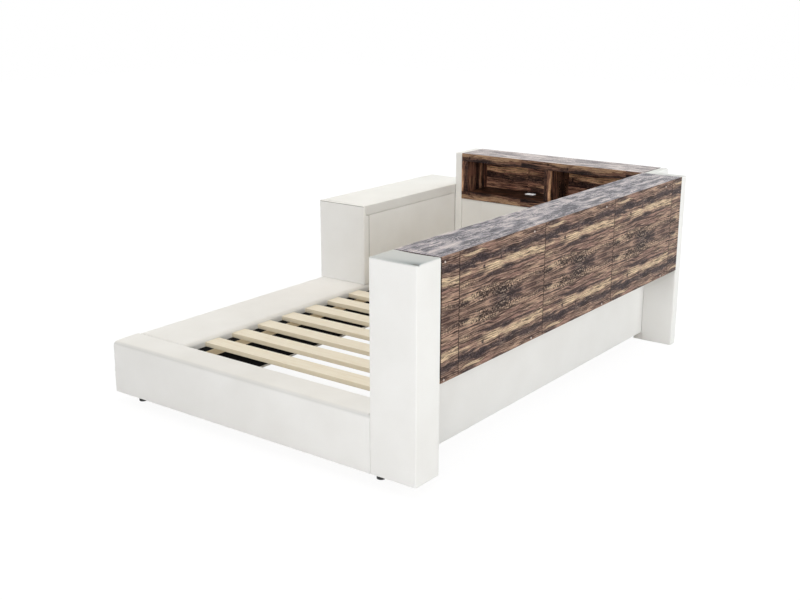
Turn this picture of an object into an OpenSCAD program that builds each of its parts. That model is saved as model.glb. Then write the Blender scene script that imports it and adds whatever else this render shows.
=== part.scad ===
// Upholstered bed with a bookcase headboard, a side bookcase and a storage arm.
// Millimetres. X runs across the bed with the side bookcase at +X, Y runs from the foot to the
// head, Z is up. The origin is on the floor below the middle of the bed.

/* [Overall] */
// Width of the sleeping well, from the side ledge to the side bookcase
sleep_w = 1060; // [1000:10:1120]
// Length of the sleeping well, from the foot rail to the headboard
sleep_l = 1930; // [1890:10:2060]
// Height of the post, the side bookcase and the headboard
top_z = 812; // [780:2:900]
// Height of the rails' undersides above the floor
foot_h = 38; // [28:1:60]
// Height of a low rail, from its underside to its top
rail_h = 220; // [200:2:250]
// Gap left where two separate pieces meet
seam = 0.3; // [0.2:0.1:1]

/* [Upholstery] */
// Thickness of foam and leather over a frame
pad_t = 8; // [6:1:12]
// Radius of a padded edge
pad_r = 12; // [9:1:16]
// Radius of a padded edge where two padded bodies meet closely
pad_tight_r = 4; // [3:0.5:6]
// Thickness of leather without foam below it
skin_t = 1.5; // [1:0.5:2.5]
// Height by which the middle of a padded face stands above its edges
pad_crown = 2.5; // [1:0.5:4]
// Thickness of the panels of a box frame
frame_wall = 15; // [12:1:20]
// Width of the cross blocks inside a box frame
block_w = 44; // [38:1:60]

/* [Foot rail and post] */
// Thickness of the foot rail, and depth of the post beside it
foot_t = 135; // [100:5:160]
// Distance of a foot from the outer end of its rail
foot_in_x = 92; // [60:1:160]
// Distance of a front foot from the front face
foot_in_y = 62; // [50:1:80]
// Radius of a foot at the floor
foot_r = 16; // [12:1:18]
// Radius of a foot where it meets its rail
foot_top_r = 17; // [14:1:19]

/* [Side ledge and storage arm] */
// Width of the side ledge and of the storage arm that stands on it
arm_w = 284; // [240:2:340]
// Length of the storage arm
arm_l = 941; // [700:1:1100]
// Height of the storage arm above the ledge, with its lid
arm_h = 388; // [300:2:440]
// Distance of the storage arm's outer side behind the ledge's
arm_inset = 7; // [7:0.5:10]
// Distance of the storage arm's head end ahead of the headboard's back
arm_back = 20; // [10:1:40]
// Thickness of the storage arm's foot end, its front panel included
arm_end_t = 40; // [36:1:50]
// Thickness of the front panel, which rises to the top of the lid
arm_front_t = 17; // [14:1:20]
// Thickness of a side board of the storage arm
arm_board_t = 15; // [12:1:20]
// Distance of the inner side behind the edge of the end panel
arm_step = 2; // [1:0.5:4]
// Thickness of the storage arm's floor
arm_floor_t = 9; // [6:1:15]
// Thickness of the padded lid
lid_t = 46; // [36:1:60]
// Gap between the storage arm and its lid
lid_gap = 3; // [2.6:0.1:5]
// Gap between the front panel and the lid's end
lid_play = 2; // [1.5:0.5:4]

/* [Lid hinge] */
// Outer radius of a hinge knuckle
knuckle_r = 3.5; // [3:0.1:3.5]
// Length of a hinge knuckle
knuckle_l = 40; // [25:1:60]
// Gap between neighbouring knuckles
knuckle_gap = 0.6; // [0.3:0.1:1]
// Radius of the hinge pin
pin_r = 1.75; // [1.5:0.05:2]
// Running clearance between the pin and the knuckles
pin_play = 0.05; // [0.03:0.01:0.1]
// Thickness of a hinge leaf
leaf_t = 1.2; // [0.8:0.1:1.2]
// Width of a hinge leaf, from the pin's axis
leaf_w = 24; // [20:1:26]
// Distance of the hinge from both ends of the lid
hinge_in = 60; // [50:1:120]

/* [Headboard] */
// Depth of the headboard
head_d = 192; // [140:2:220]
// Thickness of the headboard's padded ends
head_end_t = 40; // [32:1:50]
// Height of the headboard's open shelf unit
shelf_h = 239; // [200:1:280]
// Thickness of the padded panel below the shelf unit
head_pad_t = 36; // [30:1:46]
// Distance of the padded panel behind the shelf's front edge
head_pad_in = 3; // [1:0.5:8]
// Thickness of the cross rail that the padded panel stands on
cross_t = 30; // [24:1:40]

/* [Side bookcase] */
// Depth of the side bookcase
case_d = 195; // [170:1:240]
// Height of the side bookcase, without the rail below it
case_h = 440; // [400:2:480]
// Thickness of the rail below the side bookcase
side_rail_t = 42; // [34:1:60]
// Thickness of the bookcase's floor board
case_floor_t = 18; // [15:1:25]
// Distance from the post to the middle of the first upright
upright_first = 22; // [20:1:40]
// Distance from the middle of the fourth upright to the bookcase's head end
upright_last = 175; // [130:1:200]
// Distance from the post to the first joint in the back
joint_first = 109; // [80:1:130]
// Distance from the last joint in the back to the bookcase's head end
joint_last = 100; // [70:1:130]
// Gap at a joint between two back panels
joint_gap = 1; // [0.5:0.5:2]
// Distance of the first back panel behind the post
reveal = 5; // [3:0.5:8]
// Thickness of the padded end panel at the head
end_t = 50; // [40:1:60]
// Distance of that panel's front before the headboard's front
end_ahead = 2; // [0:1:20]

/* [Boards] */
// Thickness of the long boards of both shelf units
board_t = 40; // [30:1:45]
// Thickness of the uprights of both shelf units
upright_t = 36; // [30:1:42]
// Thickness of a hardboard back
back_t = 3; // [2.5:0.5:5]

/* [Slats] */
// Width of a slat
slat_w = 78; // [60:1:90]
// Thickness of a slat
slat_t = 20; // [16:1:24]
// Distance from one slat to the next
slat_pitch = 154.5; // [140:0.5:165]
// Distance from the foot rail to the first slat
slat_first = 110; // [60:1:110]
// Distance of the slats' top below the rails' top
slat_drop = 13; // [8:1:20]
// Gap between a slat's end and the rail
slat_gap = 1; // [0.5:0.5:4]
// Thickness of the strap below the slats
strap_t = 2; // [1.5:0.5:3]
// Width of a ledger
ledger_w = 44; // [35:1:55]
// Height of a ledger
ledger_h = 30; // [25:1:36]
// Thickness of the lining on the rails' inner sides
lining_t = 1.2; // [1:0.1:1.5]

/* [Fixings] */
// Thickness of a corner bracket
bracket_t = 3; // [2.5:0.5:4]
// Height of a corner bracket
bracket_h = 100; // [80:1:110]
// Long leg of a corner bracket, along the rail
bracket_leg = 60; // [50:1:68]
// Short leg of a corner bracket
bracket_short = 38; // [34:1:38]
// Radius of a bracket bolt's shank
bolt_r = 3; // [2.5:0.25:3.5]
// Radius of a bracket bolt's head
bolt_head_r = 6; // [5:0.5:7]
// Length of a bracket bolt's shank
bolt_l = 21; // [18:1:22]
// Radius of a screw cap on the bookcase's back
cap_r = 4; // [3.5:0.5:7]
// Height of a screw cap
cap_h = 2; // [1:0.5:3]
// Radius of a back screw's shank
screw_r = 2; // [1.5:0.25:2.5]
// Length of a back screw's shank
screw_l = 25; // [15:1:30]
// Clearance around a bolt or screw
bolt_play = 0.2; // [0.1:0.1:0.4]

/* [Charging unit] */
// Length of the charging unit's plate
unit_l = 48; // [44:1:90]
// Width of the charging unit's plate
unit_w = 30; // [24:1:34]
// Thickness of the charging unit's plate
unit_plate_t = 2; // [1.5:0.5:3]
// Width of the plate's rim around the body
unit_rim = 4; // [3:0.5:6]
// Depth of the charging unit's body
unit_d = 32; // [25:1:38]
// Distance of the unit's middle from the shelf's left end
unit_x = 341; // [300:1:400]
// Distance of the unit's middle behind the shelf's front
unit_y = 131; // [60:1:145]
// Length of a charging port
port_l = 12.5; // [12:0.5:14]
// Width of a charging port
port_w = 5.1; // [5:0.1:5.6]
// Depth of a charging port
port_d = 12; // [9:1:15]
// Thickness of the tongue inside a charging port
tongue_t = 1.9; // [1.8:0.1:2.2]
// Distance between the middles of the two ports
port_pitch = 19; // [16:1:32]

/* [Hidden] */
$fn = 48;

// Segments of a padded edge and of a padded crown
edge_n = 4;
crown_n = 3;

// Planes across the bed, whose width includes the screw caps on the bookcase's back
total_w = arm_w + sleep_w + case_d + cap_h;
x_out = -total_w / 2;
x_ledge = x_out + arm_w;
x_case = x_ledge + sleep_w;
x_rail = x_case + side_rail_t;
x_back = x_case + case_d;

// Planes along the bed
total_l = foot_t + sleep_l + head_d;
y_foot = -total_l / 2;
y_well = y_foot + foot_t;
y_head = y_well + sleep_l;
y_end = y_head + head_d;
y_arm_end = y_end - arm_back;
y_arm = y_arm_end - arm_l;
y_lid = y_arm + arm_front_t + lid_play;
y_rear = y_head - end_ahead;

// Heights above the floor
z_rail = foot_h + rail_h;
z_slat = z_rail - slat_drop;
z_ledger = z_slat - slat_t - strap_t;
z_case = top_z - case_h;
z_shelf = top_z - shelf_h;
z_lid = z_rail + arm_h;
z_arm = z_lid - lid_t - lid_gap;
z_bracket = z_ledger - ledger_h - bracket_h - 10;
z_cross = z_bracket + bracket_h + 5;

// Each padded body as its ranges along X, Y and Z
foot_rail = [[x_out, x_case - seam], [y_foot, y_well], [foot_h, z_rail]];
ledge = [[x_out, x_ledge], [y_well + seam, y_end], [foot_h, z_rail]];
side_rail = [[x_case, x_rail], [y_well + seam, y_head - seam], [foot_h, z_case - seam]];
post = [[x_case, x_back], [y_foot, y_well], [foot_h, top_z]];
rear_end = [[x_rail + seam, x_back], [y_rear, y_rear + end_t], [0, top_z]];
head_left = [[x_ledge + seam, x_ledge + seam + head_end_t], [y_head, y_end], [foot_h, top_z]];
head_right = [[x_rail - head_end_t, x_rail], [y_head, y_end], [foot_h, top_z]];
head_panel = [
  [head_left[0][1] + seam, head_right[0][0] - seam],
  [y_head + head_pad_in, y_head + head_pad_in + head_pad_t],
  [z_cross + seam, z_shelf - seam]
];
arm_x = [x_out + arm_inset, x_ledge - 1];
arm_front = [
  [arm_x[0] - arm_step, arm_x[1]], [y_arm, y_arm + arm_front_t], [z_rail + seam, z_lid]
];
arm_end = [arm_x, [arm_front[1][1] + seam, y_arm + arm_end_t], [z_rail + seam, z_arm]];
lid = [arm_x, [y_lid, y_arm_end], [z_arm + lid_gap, z_lid]];

// The shelf unit lies between the headboard's ends
shelf_x = head_panel[0];
shelf_y = [y_head, y_end - back_t];
cubby_w = (shelf_x[1] - shelf_x[0] - 3 * upright_t) / 2;
unit_at = [shelf_x[0] + unit_x, shelf_y[0] + unit_y, z_shelf + board_t];

// The side bookcase runs from the post to the padded end at the head
case_x = [x_case, x_back - back_t];
case_y = [y_well + seam, y_rear - seam];
case_mids = parted(y_well + upright_first, case_y[1] - upright_last);
case_joints = parted(y_well + joint_first, case_y[1] - joint_last);
case_screw_z = [z_case + case_floor_t / 2, top_z - board_t / 2];

// The storage arm's walls
arm_wall_x = [arm_x[0], arm_x[1] - arm_step];
arm_wall_y = [y_arm + arm_end_t + seam, y_arm_end - seam];
arm_wall_t = arm_board_t + pad_t;

// The lid's hinge line, level with the middle of the gap below the lid
hinge_x = arm_x[0] - knuckle_r;
hinge_z = z_arm + lid_gap / 2;
hinge_y = [y_arm + hinge_in, y_arm_end - hinge_in];
hinge_step = knuckle_l + knuckle_gap;
knuckle_n = 2 * floor((width(hinge_y) / hinge_step - 1) / 2) + 1;
hinge_l = knuckle_n * hinge_step - knuckle_gap;
hinge_y0 = mid(hinge_y) - hinge_l / 2;

// Places of the hinge screws, over the middle of the outer board
hinge_screw_n = floor(hinge_l / 150) + 1;
hinge_screw_y = [for (i = [0:hinge_screw_n - 1])
  hinge_y0 + hinge_l * (i + 0.5) / hinge_screw_n];
hinge_screw_x = arm_wall_x[0] + pad_t + arm_board_t / 2;

slat_n = floor((sleep_l - slat_first - slat_w) / slat_pitch) + 1;
slat_y = [for (i = [0:slat_n - 1]) y_well + slat_first + slat_pitch * i];

feet_at = [
  [x_out + foot_in_x, y_foot + foot_in_y], [x_case, y_foot + foot_in_y],
  [x_out + foot_in_x, (y_well + y_end) / 2], [x_out + foot_in_x, y_end - foot_in_x],
  [(head_left[0][0] + head_left[0][1]) / 2, y_head + head_d / 2],
  [(head_right[0][0] + head_right[0][1]) / 2, y_head + head_d / 2]
];

// A bracket's corner and the directions of its long and short legs
bracket_at = [
  [x_ledge, y_well + seam, 1, 1], [x_case, y_well + seam, -1, 1],
  [x_ledge, y_head - seam, 1, -1], [x_case, y_head - seam, -1, -1]
];
bracket_bolt_z = [z_bracket + bracket_h / 4, z_bracket + bracket_h * 3 / 4];

leather = [0.93, 0.92, 0.90];
timber = [0.84, 0.78, 0.66];
pine = [0.89, 0.84, 0.72];
print_wood = [0.42, 0.33, 0.26];
black = [0.09, 0.09, 0.09];
steel = [0.72, 0.73, 0.74];
plastic = [0.95, 0.95, 0.94];

// A plain block that fills three ranges
module span(x, y, z) {
  translate([x[0], y[0], z[0]]) cube([x[1] - x[0], y[1] - y[0], z[1] - z[0]]);
}

// The bookcase has three equal bays: the four places that part a stretch in three
function parted(from, to) = [for (i = [0:3]) from + (to - from) * i / 3];

// A range drawn in, or let out, at both ends
function drawn(range, by) = [range[0] + by, range[1] - by];
function mid(range) = (range[0] + range[1]) / 2;
function width(range) = range[1] - range[0];

// The space of a frame inside its padding, open below
function core(body) = [
  drawn(body[0], pad_t), drawn(body[1], pad_t), [body[2][0], body[2][1] - pad_t]
];

// A padded face is given as [crown, edge radius]
soft_face = [pad_crown, pad_r];
plain_face = [0, pad_r];
tight_face = [0, pad_tight_r];
skin_face = [pad_crown / 2, pad_tight_r];
backed_face = [0, 0.5];

// One ring of a padded body: a rectangle of l by w with corners of radius r, drawn in by d
function ring(l, w, r, d, z) =
  let (q = max(r - d, 0.5), hx = l / 2 - d - q, hy = w / 2 - d - q)
  [for (c = [0:3], i = [0:edge_n])
    let (a = 90 * c + 90 * i / edge_n, sx = (c == 0 || c == 3) ? 1 : -1, sy = c < 2 ? 1 : -1)
    [sx * hx + q * cos(a), sy * hy + q * sin(a), z]];

// From the middle of a face to its side: how far each ring is drawn in, and how deep it lies
function face_profile(half, face) = concat(
  [for (j = [crown_n:-1:1]) if (face[0] > 0)
    [face[1] + (half - face[1] - 1) * j / crown_n, face[0] * (1 - sin(90 * j / crown_n))]],
  [for (i = [0:edge_n])
    let (a = 90 * i / edge_n) [face[1] * (1 - sin(a)), face[0] + face[1] * (1 - cos(a))]]);

function reversed(list) = [for (i = [len(list) - 1:-1:0]) list[i]];

// A padded body lying flat, l by w and t thick, with the given lower and upper faces
module pad_flat(l, w, t, low, high, r) {
  half = min(l, w) / 2;
  rings = concat(
    [for (p = face_profile(half, low)) ring(l, w, r, p[0], p[1])],
    [for (p = reversed(face_profile(half, high))) ring(l, w, r, p[0], t - p[1])]);
  n = len(rings[0]);
  m = len(rings);
  points = concat([for (r = rings) each r], [[0, 0, 0], [0, 0, t]]);
  sides = [for (k = [0:m - 2], i = [0:n - 1])
    let (j = (i + 1) % n, a = k * n + i, b = k * n + j, c = (k + 1) * n + j, d = (k + 1) * n + i)
    each [[a, d, c], [a, c, b]]];
  caps = [for (i = [0:n - 1])
    let (j = (i + 1) % n)
    each [[m * n, i, j], [m * n + 1, (m - 1) * n + j, (m - 1) * n + i]]];
  polyhedron(points = points, faces = concat(sides, caps), convexity = 4);
}

// A padded body that fills three ranges, its two faces square to the named axis
module pad(body, axis, low, high, r = pad_r) {
  x = body[0];
  y = body[1];
  z = body[2];
  if (axis == "z")
    translate([mid(x), mid(y), z[0]]) pad_flat(width(x), width(y), width(z), low, high, r);
  if (axis == "y")
    translate([mid(x), y[0], mid(z)])
      rotate([-90, 0, 0]) pad_flat(width(x), width(z), width(y), low, high, r);
  if (axis == "x")
    translate([x[0], mid(y), mid(z)])
      rotate([0, 90, 0]) pad_flat(width(z), width(y), width(x), low, high, r);
}

// The padded cover of a frame, open below so that the frame fills it
module cover(body, axis, low, high, r = pad_r) {
  inside = core(body);
  difference() {
    pad(body, axis, low, high, r);
    span(inside[0], inside[1], [body[2][0] - 1, inside[2][1]]);
  }
}

// A closed box frame with cross blocks at the given places along X or Y
module box_frame(space, along, blocks) {
  x = space[0];
  y = space[1];
  z = space[2];
  difference() {
    span(x, y, z);
    difference() {
      span(drawn(x, frame_wall), drawn(y, frame_wall), drawn(z, frame_wall));
      for (b = blocks) {
        if (along == "x")
          span([b - block_w / 2, b + block_w / 2], y, z);
        if (along == "y")
          span(x, [b - block_w / 2, b + block_w / 2], z);
      }
    }
  }
}

// Places of the bracket bolts: [point, direction] for both legs of every bracket
function bolts() = [for (b = bracket_at, z = bracket_bolt_z) each [
  [[b[0], b[1] + b[3] * bracket_leg * 0.65, z], [-b[2], 0]],
  [[b[0] + b[2] * bracket_short * 0.6, b[1], z], [0, -b[3]]]
]];

// Round bodies along every bolt's shank, from the bracket's face outwards
module bolt_shanks(r, length) {
  for (b = bolts())
    translate(b[0])
      rotate([0, 90, atan2(b[1][1], b[1][0])])
        translate([0, 0, -bracket_t - 1]) cylinder(h = length + bracket_t + 1, r = r);
}

module bolt_holes() {
  bolt_shanks(bolt_r + bolt_play, bolt_l + 1);
}

module foot_rail_frame() {
  color(timber)
    difference() {
      box_frame(core(foot_rail), "x", [
        x_out + foot_in_x, x_ledge + bracket_short * 0.6, mid(foot_rail[0]),
        x_case - bracket_short * 0.6
      ]);
      bolt_holes();
    }
}

module foot_rail_cover() {
  color(leather)
    difference() {
      cover(foot_rail, "y", soft_face, plain_face);
      bolt_holes();
    }
}

module ledge_frame() {
  color(timber)
    difference() {
      box_frame(core(ledge), "y", [
        y_well + block_w, mid(ledge[1]), y_head - block_w, y_end - foot_in_x
      ]);
      bolt_holes();
    }
}

module ledge_cover() {
  color(leather)
    difference() {
      cover(ledge, "x", soft_face, plain_face);
      bolt_holes();
    }
}

module side_rail_frame() {
  color(timber)
    difference() {
      inside = core(side_rail);
      span(inside[0], inside[1], inside[2]);
      bolt_holes();
    }
}

module side_rail_cover() {
  color(leather)
    difference() {
      cover(side_rail, "x", tight_face, [pad_crown, pad_tight_r], pad_tight_r);
      bolt_holes();
    }
}

// Black lining stapled to the rails' inner sides below the ledgers
module rail_linings() {
  y = [y_well + bracket_leg + 8, y_head - bracket_leg - 8];
  z = [foot_h + pad_r, z_ledger - ledger_h];
  color(black) {
    span([x_ledge + seam, x_ledge + seam + lining_t], y, z);
    span([x_case - seam - lining_t, x_case - seam], y, z);
  }
}

module ledger(x) {
  color(pine) span(x, [y_well + seam, y_head - seam], [z_ledger - ledger_h, z_ledger]);
}

module left_ledger() {
  ledger([x_ledge + seam, x_ledge + seam + ledger_w]);
}

module right_ledger() {
  ledger([x_case - seam - ledger_w, x_case - seam]);
}

// Planed slats with eased long edges
module slats() {
  ease = 2;
  color(pine)
    for (y = slat_y)
      translate([x_ledge + slat_gap, y, z_slat - slat_t])
        rotate([90, 0, 90])
          linear_extrude(sleep_w - 2 * slat_gap)
            polygon([
              [0, 0], [slat_w, 0], [slat_w, slat_t - ease], [slat_w - ease, slat_t],
              [ease, slat_t], [0, slat_t - ease]
            ]);
}

// Webbing that keeps the slats at their distance, one strip on each ledger
module slat_straps() {
  y = [y_well + seam, slat_y[slat_n - 1] + slat_w];
  color(black)
    for (x = [x_ledge + seam, x_case - seam - ledger_w])
      span([x, x + ledger_w], y, [z_ledger, z_ledger + strap_t]);
}

// Steel angles in the four corners of the well
module corner_brackets() {
  color(steel)
    for (b = bracket_at)
      translate([b[0], b[1], z_bracket])
        scale_side(b[2], b[3])
          difference() {
            union() {
              cube([bracket_t, bracket_leg, bracket_h]);
              cube([bracket_short, bracket_t, bracket_h]);
            }
            for (z = bracket_bolt_z) {
              translate([-1, bracket_leg * 0.65, z - z_bracket])
                rotate([0, 90, 0]) cylinder(h = bracket_t + 2, r = bolt_r + bolt_play);
              translate([bracket_short * 0.6, bracket_t + 1, z - z_bracket])
                rotate([90, 0, 0]) cylinder(h = bracket_t + 2, r = bolt_r + bolt_play);
            }
          }
}

// Mirrors its children to the side of the corner that they belong to
module scale_side(sx, sy) {
  mirror([sx < 0 ? 1 : 0, 0, 0]) mirror([0, sy < 0 ? 1 : 0, 0]) children();
}

// Flat-headed bolts through the brackets into the frames
module bracket_bolts() {
  color(steel)
    for (b = bolts())
      translate(b[0])
        rotate([0, 90, atan2(b[1][1], b[1][0])])
          translate([0, 0, -bracket_t]) {
            cylinder(h = bracket_t + bolt_l, r = bolt_r);
            translate([0, 0, -3]) cylinder(h = 3, r = bolt_head_r);
          }
}

module feet() {
  color(black)
    for (p = feet_at)
      translate([p[0], p[1], 0]) cylinder(h = foot_h, r1 = foot_r, r2 = foot_top_r);
}

module post_frame() {
  inside = core(post);
  color(timber) box_frame(inside, "x", [inside[0][0] + frame_wall + block_w / 2]);
}

module post_cover() {
  color(leather) cover(post, "y", soft_face, plain_face);
}

module rear_end_frame() {
  inside = core(rear_end);
  color(timber) span(inside[0], inside[1], inside[2]);
}

module rear_end_cover() {
  color(leather) cover(rear_end, "y", tight_face, soft_face);
}

// Holes for the screws that hold the bookcase's back
module case_screw_shafts(r, from, to) {
  for (y = case_mids, z = case_screw_z)
    translate([from, y, z]) rotate([0, 90, 0]) cylinder(h = to - from, r = r);
}

module case_screw_holes() {
  case_screw_shafts(screw_r + bolt_play, x_back - back_t - screw_l - 1, x_back + 1);
}

// A long board of the bookcase, notched round the padded end at the head
module case_board(z) {
  difference() {
    span(case_x, [case_y[0], y_head - seam], z);
    span([x_rail, case_x[1] + 1], [case_y[1], y_head], [z[0] - 1, z[1] + 1]);
    case_screw_holes();
  }
}

module case_top() {
  color(print_wood) case_board([top_z - board_t, top_z]);
}

module case_floor() {
  color(print_wood) case_board([z_case, z_case + case_floor_t]);
}

// Four uprights that the back is screwed to, and one against the padded end
module case_uprights() {
  color(print_wood)
    for (y = concat(case_mids, [case_y[1] - upright_t / 2]))
      span(case_x, [y - upright_t / 2, y + upright_t / 2],
        [z_case + case_floor_t, top_z - board_t]);
}

module case_back(y) {
  difference() {
    span([x_back - back_t, x_back], y, [z_case, top_z]);
    case_screw_holes();
  }
}

module case_back_strips() {
  color(print_wood) {
    case_back([y_well + reveal, case_joints[0] - joint_gap / 2]);
    case_back([case_joints[3] + joint_gap / 2, case_y[1]]);
  }
}

module case_back_panels() {
  color(print_wood)
    for (i = [0:2])
      case_back([case_joints[i] + joint_gap / 2, case_joints[i + 1] - joint_gap / 2]);
}

// Screws with domed plastic caps
module case_screws() {
  color(plastic) {
    case_screw_shafts(screw_r, x_back - back_t - screw_l, x_back);
    for (y = case_mids, z = case_screw_z)
      translate([x_back, y, z])
        rotate([0, 90, 0]) cylinder(h = cap_h, r1 = cap_r, r2 = cap_r * 0.6);
  }
}

module head_end_frame(body) {
  inside = core(body);
  color(timber)
    difference() {
      span(inside[0], inside[1], inside[2]);
      bolt_holes();
    }
}

module head_left_frame() {
  head_end_frame(head_left);
}

module head_right_frame() {
  head_end_frame(head_right);
}

module head_left_cover() {
  color(leather)
    difference() {
      cover(head_left, "x", plain_face, plain_face);
      bolt_holes();
    }
}

module head_right_cover() {
  color(leather)
    difference() {
      cover(head_right, "x", plain_face, plain_face);
      bolt_holes();
    }
}

// The cross rail between the headboard's ends, with holes for the right rail's bolts
module head_cross_rail() {
  color(timber)
    difference() {
      span(head_panel[0], [y_head, y_head + cross_t], [foot_h, z_cross]);
      bolt_holes();
    }
}

module head_panel_board() {
  inside = core(head_panel);
  color(timber) span(inside[0], inside[1], inside[2]);
}

module head_panel_pad() {
  color(leather) cover(head_panel, "y", soft_face, tight_face, pad_tight_r);
}

module shelf_board(z) {
  span(shelf_x, shelf_y, z);
}

module shelf_top() {
  color(print_wood) shelf_board([top_z - board_t, top_z]);
}

// The shelf's floor, cut out for the charging unit
module shelf_floor() {
  color(print_wood)
    difference() {
      shelf_board([z_shelf, z_shelf + board_t]);
      translate(unit_at)
        translate([-unit_l / 2 + unit_rim, -unit_w / 2 + unit_rim, -board_t - 1])
          cube([unit_l - 2 * unit_rim, unit_w - 2 * unit_rim, board_t + 2]);
    }
}

// Two end uprights and the divider
module shelf_uprights() {
  color(print_wood)
    for (i = [0:2]) {
      x = shelf_x[0] + i * (cubby_w + upright_t);
      span([x, x + upright_t], shelf_y, [z_shelf + board_t, top_z - board_t]);
    }
}

module shelf_back() {
  color(print_wood) span(shelf_x, [shelf_y[1], y_end], [z_shelf, top_z]);
}

// The two charging ports, from the plate's top down, each round its contact tongue
module charging_ports() {
  for (s = [-1, 1])
    translate([s * port_pitch / 2, 0, unit_plate_t - port_d])
      difference() {
        translate([-port_l / 2, -port_w / 2, 0]) cube([port_l, port_w, port_d + 1]);
        translate([-port_l / 2 - 1, -tongue_t / 2, -1])
          cube([port_l + 2, tongue_t, port_d - unit_plate_t]);
      }
}

module charging_unit() {
  l = unit_l - 2 * unit_rim - seam;
  w = unit_w - 2 * unit_rim - seam;
  color(black)
    translate(unit_at)
      difference() {
        translate([-l / 2, -w / 2, -unit_d]) cube([l, w, unit_d]);
        charging_ports();
      }
}

module charging_plate() {
  color(plastic)
    translate(unit_at)
      difference() {
        translate([-unit_l / 2, -unit_w / 2, 0]) cube([unit_l, unit_w, unit_plate_t]);
        charging_ports();
      }
}

// The space of the front panel's board, with bare leather behind it
function arm_front_core() =
  let (inside = core(arm_front)) [inside[0], [inside[1][0], arm_front[1][1] - skin_t], inside[2]];

module arm_front_board() {
  inside = arm_front_core();
  color(timber) span(inside[0], inside[1], inside[2]);
}

// The front panel's leather, padded in front and open below
module arm_front_cover() {
  inside = arm_front_core();
  color(leather)
    difference() {
      pad(arm_front, "y", soft_face, backed_face, pad_tight_r);
      span(inside[0], inside[1], [arm_front[2][0] - 1, inside[2][1]]);
    }
}

module arm_end_frame() {
  inside = core(arm_end);
  color(timber) span(inside[0], [arm_end[1][0], inside[1][1]], inside[2]);
}

// The padding of the foot end behind the front panel, open towards it and below
module arm_end_cover() {
  inside = core(arm_end);
  color(leather)
    difference() {
      pad(arm_end, "y", backed_face, tight_face, pad_tight_r);
      span(inside[0], [arm_end[1][0] - 1, inside[1][1]], [arm_end[2][0] - 1, inside[2][1]]);
    }
}

// A side board of the storage arm, rising from the arm's floor to the lid
module arm_side_board(x) {
  span(x, [arm_wall_y[0], arm_wall_y[1] - arm_board_t - seam], [z_rail + seam, z_arm]);
}

module arm_inner_board() {
  x1 = arm_wall_x[1] - pad_t;
  color(timber) arm_side_board([x1 - arm_board_t, x1]);
}

// The outer side board, with holes for the hinge's screws
module arm_outer_board() {
  x0 = arm_wall_x[0] + pad_t;
  color(timber)
    difference() {
      arm_side_board([x0, x0 + arm_board_t]);
      hinge_screw_holes(-1);
    }
}

// The padding on the outside of a side board
module arm_side_cover(x, low, high) {
  color(leather) pad([x, arm_wall_y, [z_rail + seam, z_arm]], "x", low, high, pad_tight_r);
}

module arm_inner_cover() {
  x1 = arm_wall_x[1];
  arm_side_cover([x1 - pad_t + seam, x1], backed_face, skin_face);
}

module arm_outer_cover() {
  x0 = arm_wall_x[0];
  arm_side_cover([x0, x0 + pad_t - seam], skin_face, backed_face);
}

module arm_head_board() {
  color(timber)
    span(drawn(arm_wall_x, pad_t), [arm_wall_y[1] - arm_board_t, arm_wall_y[1]],
      [z_rail + seam, z_arm]);
}

module arm_floor() {
  color(timber)
    span(drawn(arm_wall_x, arm_wall_t + seam),
      [arm_wall_y[0] + seam, arm_wall_y[1] - arm_board_t - 2 * seam],
      [z_rail + seam, z_rail + seam + arm_floor_t]);
}

// Knuckles of one leaf along the pin: the even ones on the box, the odd ones on the lid
module knuckles(first) {
  for (i = [first:2:knuckle_n - 1])
    translate([hinge_x, hinge_y0 + i * hinge_step, hinge_z])
      rotate([-90, 0, 0]) cylinder(h = knuckle_l, r = knuckle_r);
}

// A round body along the pin's line, let out at both ends by the given length
module pin_body(r, out) {
  translate([hinge_x, hinge_y0 - out, hinge_z])
    rotate([-90, 0, 0]) cylinder(h = hinge_l + 2 * out, r = r);
}

// A hinge leaf with its tabs, from z0 up by its thickness
module leaf(first, z0) {
  z = [z0, z0 + leaf_t];
  difference() {
    union() {
      span([hinge_x + knuckle_r + 0.5, hinge_x + leaf_w], [hinge_y0, hinge_y0 + hinge_l], z);
      for (i = [first:2:knuckle_n - 1])
        span([hinge_x, hinge_x + knuckle_r + 1],
          [hinge_y0 + i * hinge_step, hinge_y0 + i * hinge_step + knuckle_l], z);
      knuckles(first);
    }
    pin_body(pin_r + pin_play, 1);
    hinge_screw_holes(0);
  }
}

// Clearance holes: below the gap for side -1, above it for side 1, through both leaves for 0
module hinge_screw_holes(side) {
  z0 = side > 0 ? hinge_z : z_arm - 14;
  z1 = side < 0 ? hinge_z : z_arm + lid_gap + 14;
  for (y = hinge_screw_y)
    translate([hinge_screw_x, y, z0]) cylinder(h = z1 - z0, r = 1.5 + bolt_play);
}

module hinge_box_leaf() {
  color(steel) leaf(0, z_arm);
}

module hinge_lid_leaf() {
  color(steel) leaf(1, z_arm + lid_gap - leaf_t);
}

module hinge_pin() {
  color(steel) pin_body(pin_r, 0);
}

// Countersunk screws of one leaf, pointing down for side -1 and up for side 1
module hinge_screws(side) {
  z = side < 0 ? z_arm + leaf_t : z_arm + lid_gap - leaf_t;
  color(steel)
    for (y = hinge_screw_y)
      translate([hinge_screw_x, y, z])
        mirror([0, 0, side < 0 ? 1 : 0]) cylinder(h = 13, r = 1.5);
}

module hinge_box_screws() {
  hinge_screws(-1);
}

module hinge_lid_screws() {
  hinge_screws(1);
}

module lid_board() {
  color(timber)
    difference() {
      span(drawn(lid[0], pad_t), drawn(lid[1], pad_t), [lid[2][0], lid[2][1] - 2 * pad_t]);
      hinge_screw_holes(1);
    }
}

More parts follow.
